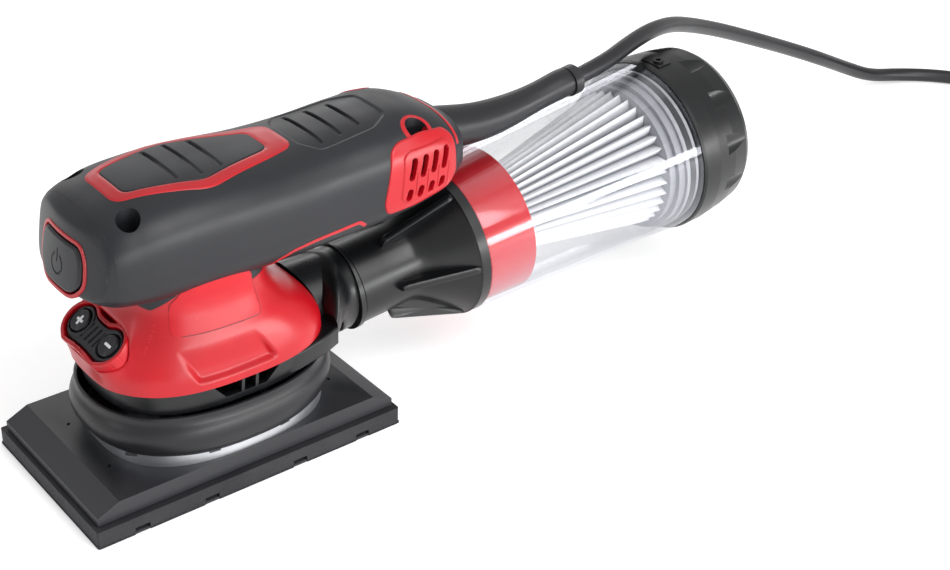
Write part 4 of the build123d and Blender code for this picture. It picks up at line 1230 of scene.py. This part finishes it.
def round_axis(station, radius, turn):
    """Points at a station along the container's axis; turn 0 is towards +Y and a quarter turn is up."""
    station, radius, turn = np.broadcast_arrays(station, radius, turn)
    out = CONTAINER_ROOT + station[..., None] * CONTAINER_AXIS
    out = out + (radius * np.cos(turn))[..., None] * CONTAINER_SIDE
    return out + (radius * np.sin(turn))[..., None] * CONTAINER_UP


# radius and station of the funnel's outside from its neck to its rim, then back down its inside
FUNNEL_OUTSIDE = np.array([(17.8, 24.0), (18.4, 27.0), (19.8, 30.0), (23.6, 36.0), (28.2, 42.6), (31.4, 46.6)])
FUNNEL_RIM = [(31.9, 47.2), (32.6, 47.6), (32.6, 52.0), (29.0, 52.0), (29.0, 60.0), (27.4, 60.0), (27.4, 48.5)]
FUNNEL_INSIDE = [(25.2, 43.4), (21.0, 37.4), (17.4, 30.6), (15.85, 25.0), (15.85, 0.3)]
RIB_OUTLINE = rounded([(17.2, 15.2), (21.6, 15.6), (32.3, 46.6), (32.0, 48.2), (29.6, 47.6), (22.6, 37.6),
                       (17.4, 30.0)], 1.2, 60)
RIB_TURNS = [radians(-3 + 60 * i) for i in range(6)]


def make_funnel():
    """Neck, bell and rim turned about the container's axis, with bold fins from the neck to the rim."""
    stations = np.linspace(24.0, 46.6, 24)
    bell_line = [(float(r), float(s)) for r, s in
                 zip(through(FUNNEL_OUTSIDE[:, 1], FUNNEL_OUTSIDE[:, 0], stations), stations)]
    line = [(16.3, 0.0), (17.4, 0.0), (17.8, 0.4), (17.8, 12.0)] + bell_line + FUNNEL_RIM + FUNNEL_INSIDE
    turn = np.linspace(0, 2 * pi, 240, endpoint=False)
    rings = [round_axis(station, radius, turn) for radius, station in line]
    ringed("funnel_bell", rings, "dust_head", "black_plastic", ("container_funnel",),
           first_cap=False, last_cap=False, closed=True, crease=35)
    radius, station = RIB_OUTLINE[:, 0], RIB_OUTLINE[:, 1]
    middle = RIB_OUTLINE.mean(0)
    for i, place in enumerate(RIB_TURNS):
        layers = []
        for across, shrink in ((-1.5, 0.93), (-1.1, 1.0), (1.1, 1.0), (1.5, 0.93)):
            r = middle[0] + (radius - middle[0]) * shrink
            s = middle[1] + (station - middle[1]) * shrink
            layers.append(round_axis(s, r, place + across / r))
        ringed(f"funnel_fin_{i + 1}", layers, "dust_head", "black_plastic")


make_funnel()


def make_filter():
    """Folded paper cone that fans out towards the rear."""
    pleats = 36
    per_pleat = 12
    turn = np.linspace(0, 2 * pi, pleats * per_pleat, endpoint=False)
    fold = np.abs(((turn * pleats / (2 * pi)) % 1) * 2 - 1)
    rings = []
    for station in np.linspace(80.2, 151.8, 40):
        share = (station - 80.0) / 72.0
        crest = 17.4 + share * 14.1
        depth = 2.2 + share * 3.0
        rings.append(round_axis(station, crest - depth * (1 - fold), turn))
    piece = ringed("filter_folds", rings, "dust_filter", "filter_paper", ("filter_pleats",),
                   crease=60)
    # fold: 1 on the crests, 0 down in the folds; the paper's look paints shade from it
    layer = piece.data.attributes.new("fold", "FLOAT", "POINT")
    values = np.zeros(len(piece.data.vertices), np.float32)
    values[:40 * len(turn)] = np.tile(fold, 40)
    layer.data.foreach_set("value", values)


make_filter()


# ---- pad -------------------------------------------------------------------------------------------------

NOTCH_CENTRES = (19.55, 48.65)


def make_hooks():
    """Fringe of hook tips that stands out round the sanding face's edge."""
    half_x, half_y = 66.5, 40.0
    pitch = 0.7
    points = []
    faces = []
    sides = [((-half_x, -half_y), (half_x, -half_y)), ((half_x, -half_y), (half_x, half_y)),
             ((half_x, half_y), (-half_x, half_y)), ((-half_x, half_y), (-half_x, -half_y))]
    for start, end in sides:
        start, end = np.array(start), np.array(end)
        along = (end - start) / np.linalg.norm(end - start)
        out = np.array([along[1], -along[0]])
        for i in range(int(np.linalg.norm(end - start) / pitch)):
            place = (start + along * pitch * (i + 0.5))[0]
            if along[1] == 0 and any(abs(abs(place) - centre) < 3.4 for centre in NOTCH_CENTRES):
                continue
            low = start + along * pitch * (i + 0.15)
            high = start + along * pitch * (i + 0.85)
            tip = (low + high) / 2 + out * 0.28
            base = len(points)
            for xy, z in ((low - out * 0.1, 0.1), (high - out * 0.1, 0.1), (high - out * 0.1, 1.3),
                          (low - out * 0.1, 1.3), (tip, 0.25), (tip, 0.95)):
                points.append((*xy, z))
            for face in ((0, 1, 4), (1, 2, 5, 4), (2, 3, 5), (3, 0, 4, 5), (3, 2, 1, 0)):
                faces.append([base + k for k in face])
    finish_mesh("hook_fringe", points, faces, "pad", "hook_fabric")


make_hooks()


def make_notch_floors():
    """Dark webs low in the notches of the foam."""
    points = []
    faces = []
    for x in NOTCH_CENTRES:
        for end in (1, -1):
            for side in (1, -1):
                box_faces(points, faces, (x * end, side * 38.8, 0.7), 0.0, (5.9, 2.3, 0.9))
    finish_mesh("notch_webs", points, faces, "pad", "hook_fabric")


make_notch_floors()


# ---- studio ----------------------------------------------------------------------------------------------

def area_light(name, place, target, size, size_y, power):
    data = bpy.data.lights.new(name, "AREA")
    data.shape = "RECTANGLE"
    data.size = size
    data.size_y = size_y
    data.energy = power
    light = bpy.data.objects.new(name, data)
    bpy.context.scene.collection.objects.link(light)
    light.location = place
    light.rotation_mode = "QUATERNION"
    light.rotation_quaternion = (Vector(target) - Vector(place)).to_track_quat("-Z", "Y")


def make_floor():
    """A pale sheet well past the object on every side."""
    mesh = bpy.data.meshes.new("floor")
    reach = 6.0
    corners = [(-reach, -reach, 0), (reach, -reach, 0), (reach, reach, 0), (-reach, reach, 0)]
    mesh.from_pydata(corners, [], [(0, 1, 2, 3)])
    floor = bpy.data.objects.new("floor", mesh)
    bpy.context.scene.collection.objects.link(floor)
    look = Shader("floor_paper", 0.7, specular=0.2)
    look.colour(look.mixed(look.noise(3.0), (0.90, 0.90, 0.90, 1), (0.93, 0.93, 0.93, 1)))
    look.bump(look.noise(400.0), 0.00005)
    look.shader.inputs["Emission Color"].default_value = (1.0, 1.0, 1.0, 1.0)
    look.shader.inputs["Emission Strength"].default_value = 0.30
    mesh.materials.append(look.material)


def set_tones():
    """Plain display colours, so that the pale floor stays pale."""
    bpy.context.scene.view_settings.view_transform = "Standard"


def make_world():
    world = bpy.data.worlds.new("studio")
    world.use_nodes = True
    backdrop = world.node_tree.nodes["Background"]
    backdrop.inputs["Color"].default_value = (1.0, 1.0, 1.0, 1.0)
    backdrop.inputs["Strength"].default_value = 0.62
    bpy.context.scene.world = world


def light_studio():
    centre = (0.05, 0.0, 0.06)
    area_light("overhead", (0.15, 0.25, 1.3), centre, 1.6, 1.2, 2.2)
    area_light("near_soft", (0.28, -0.85, 0.86), centre, 0.55, 0.75, 8.0)
    area_light("near_strip", (0.42, -1.0, 0.16), (0.15, 0.0, 0.06), 1.5, 0.16, 10.0)
    area_light("front_left", (-1.2, 0.2, 0.7), centre, 0.30, 0.8, 2.0)
    area_light("back_strip", (0.5, 1.2, 0.6), (0.15, 0.0, 0.08), 1.2, 0.2, 2.5)


set_tones()
make_floor()
make_world()
light_studio()
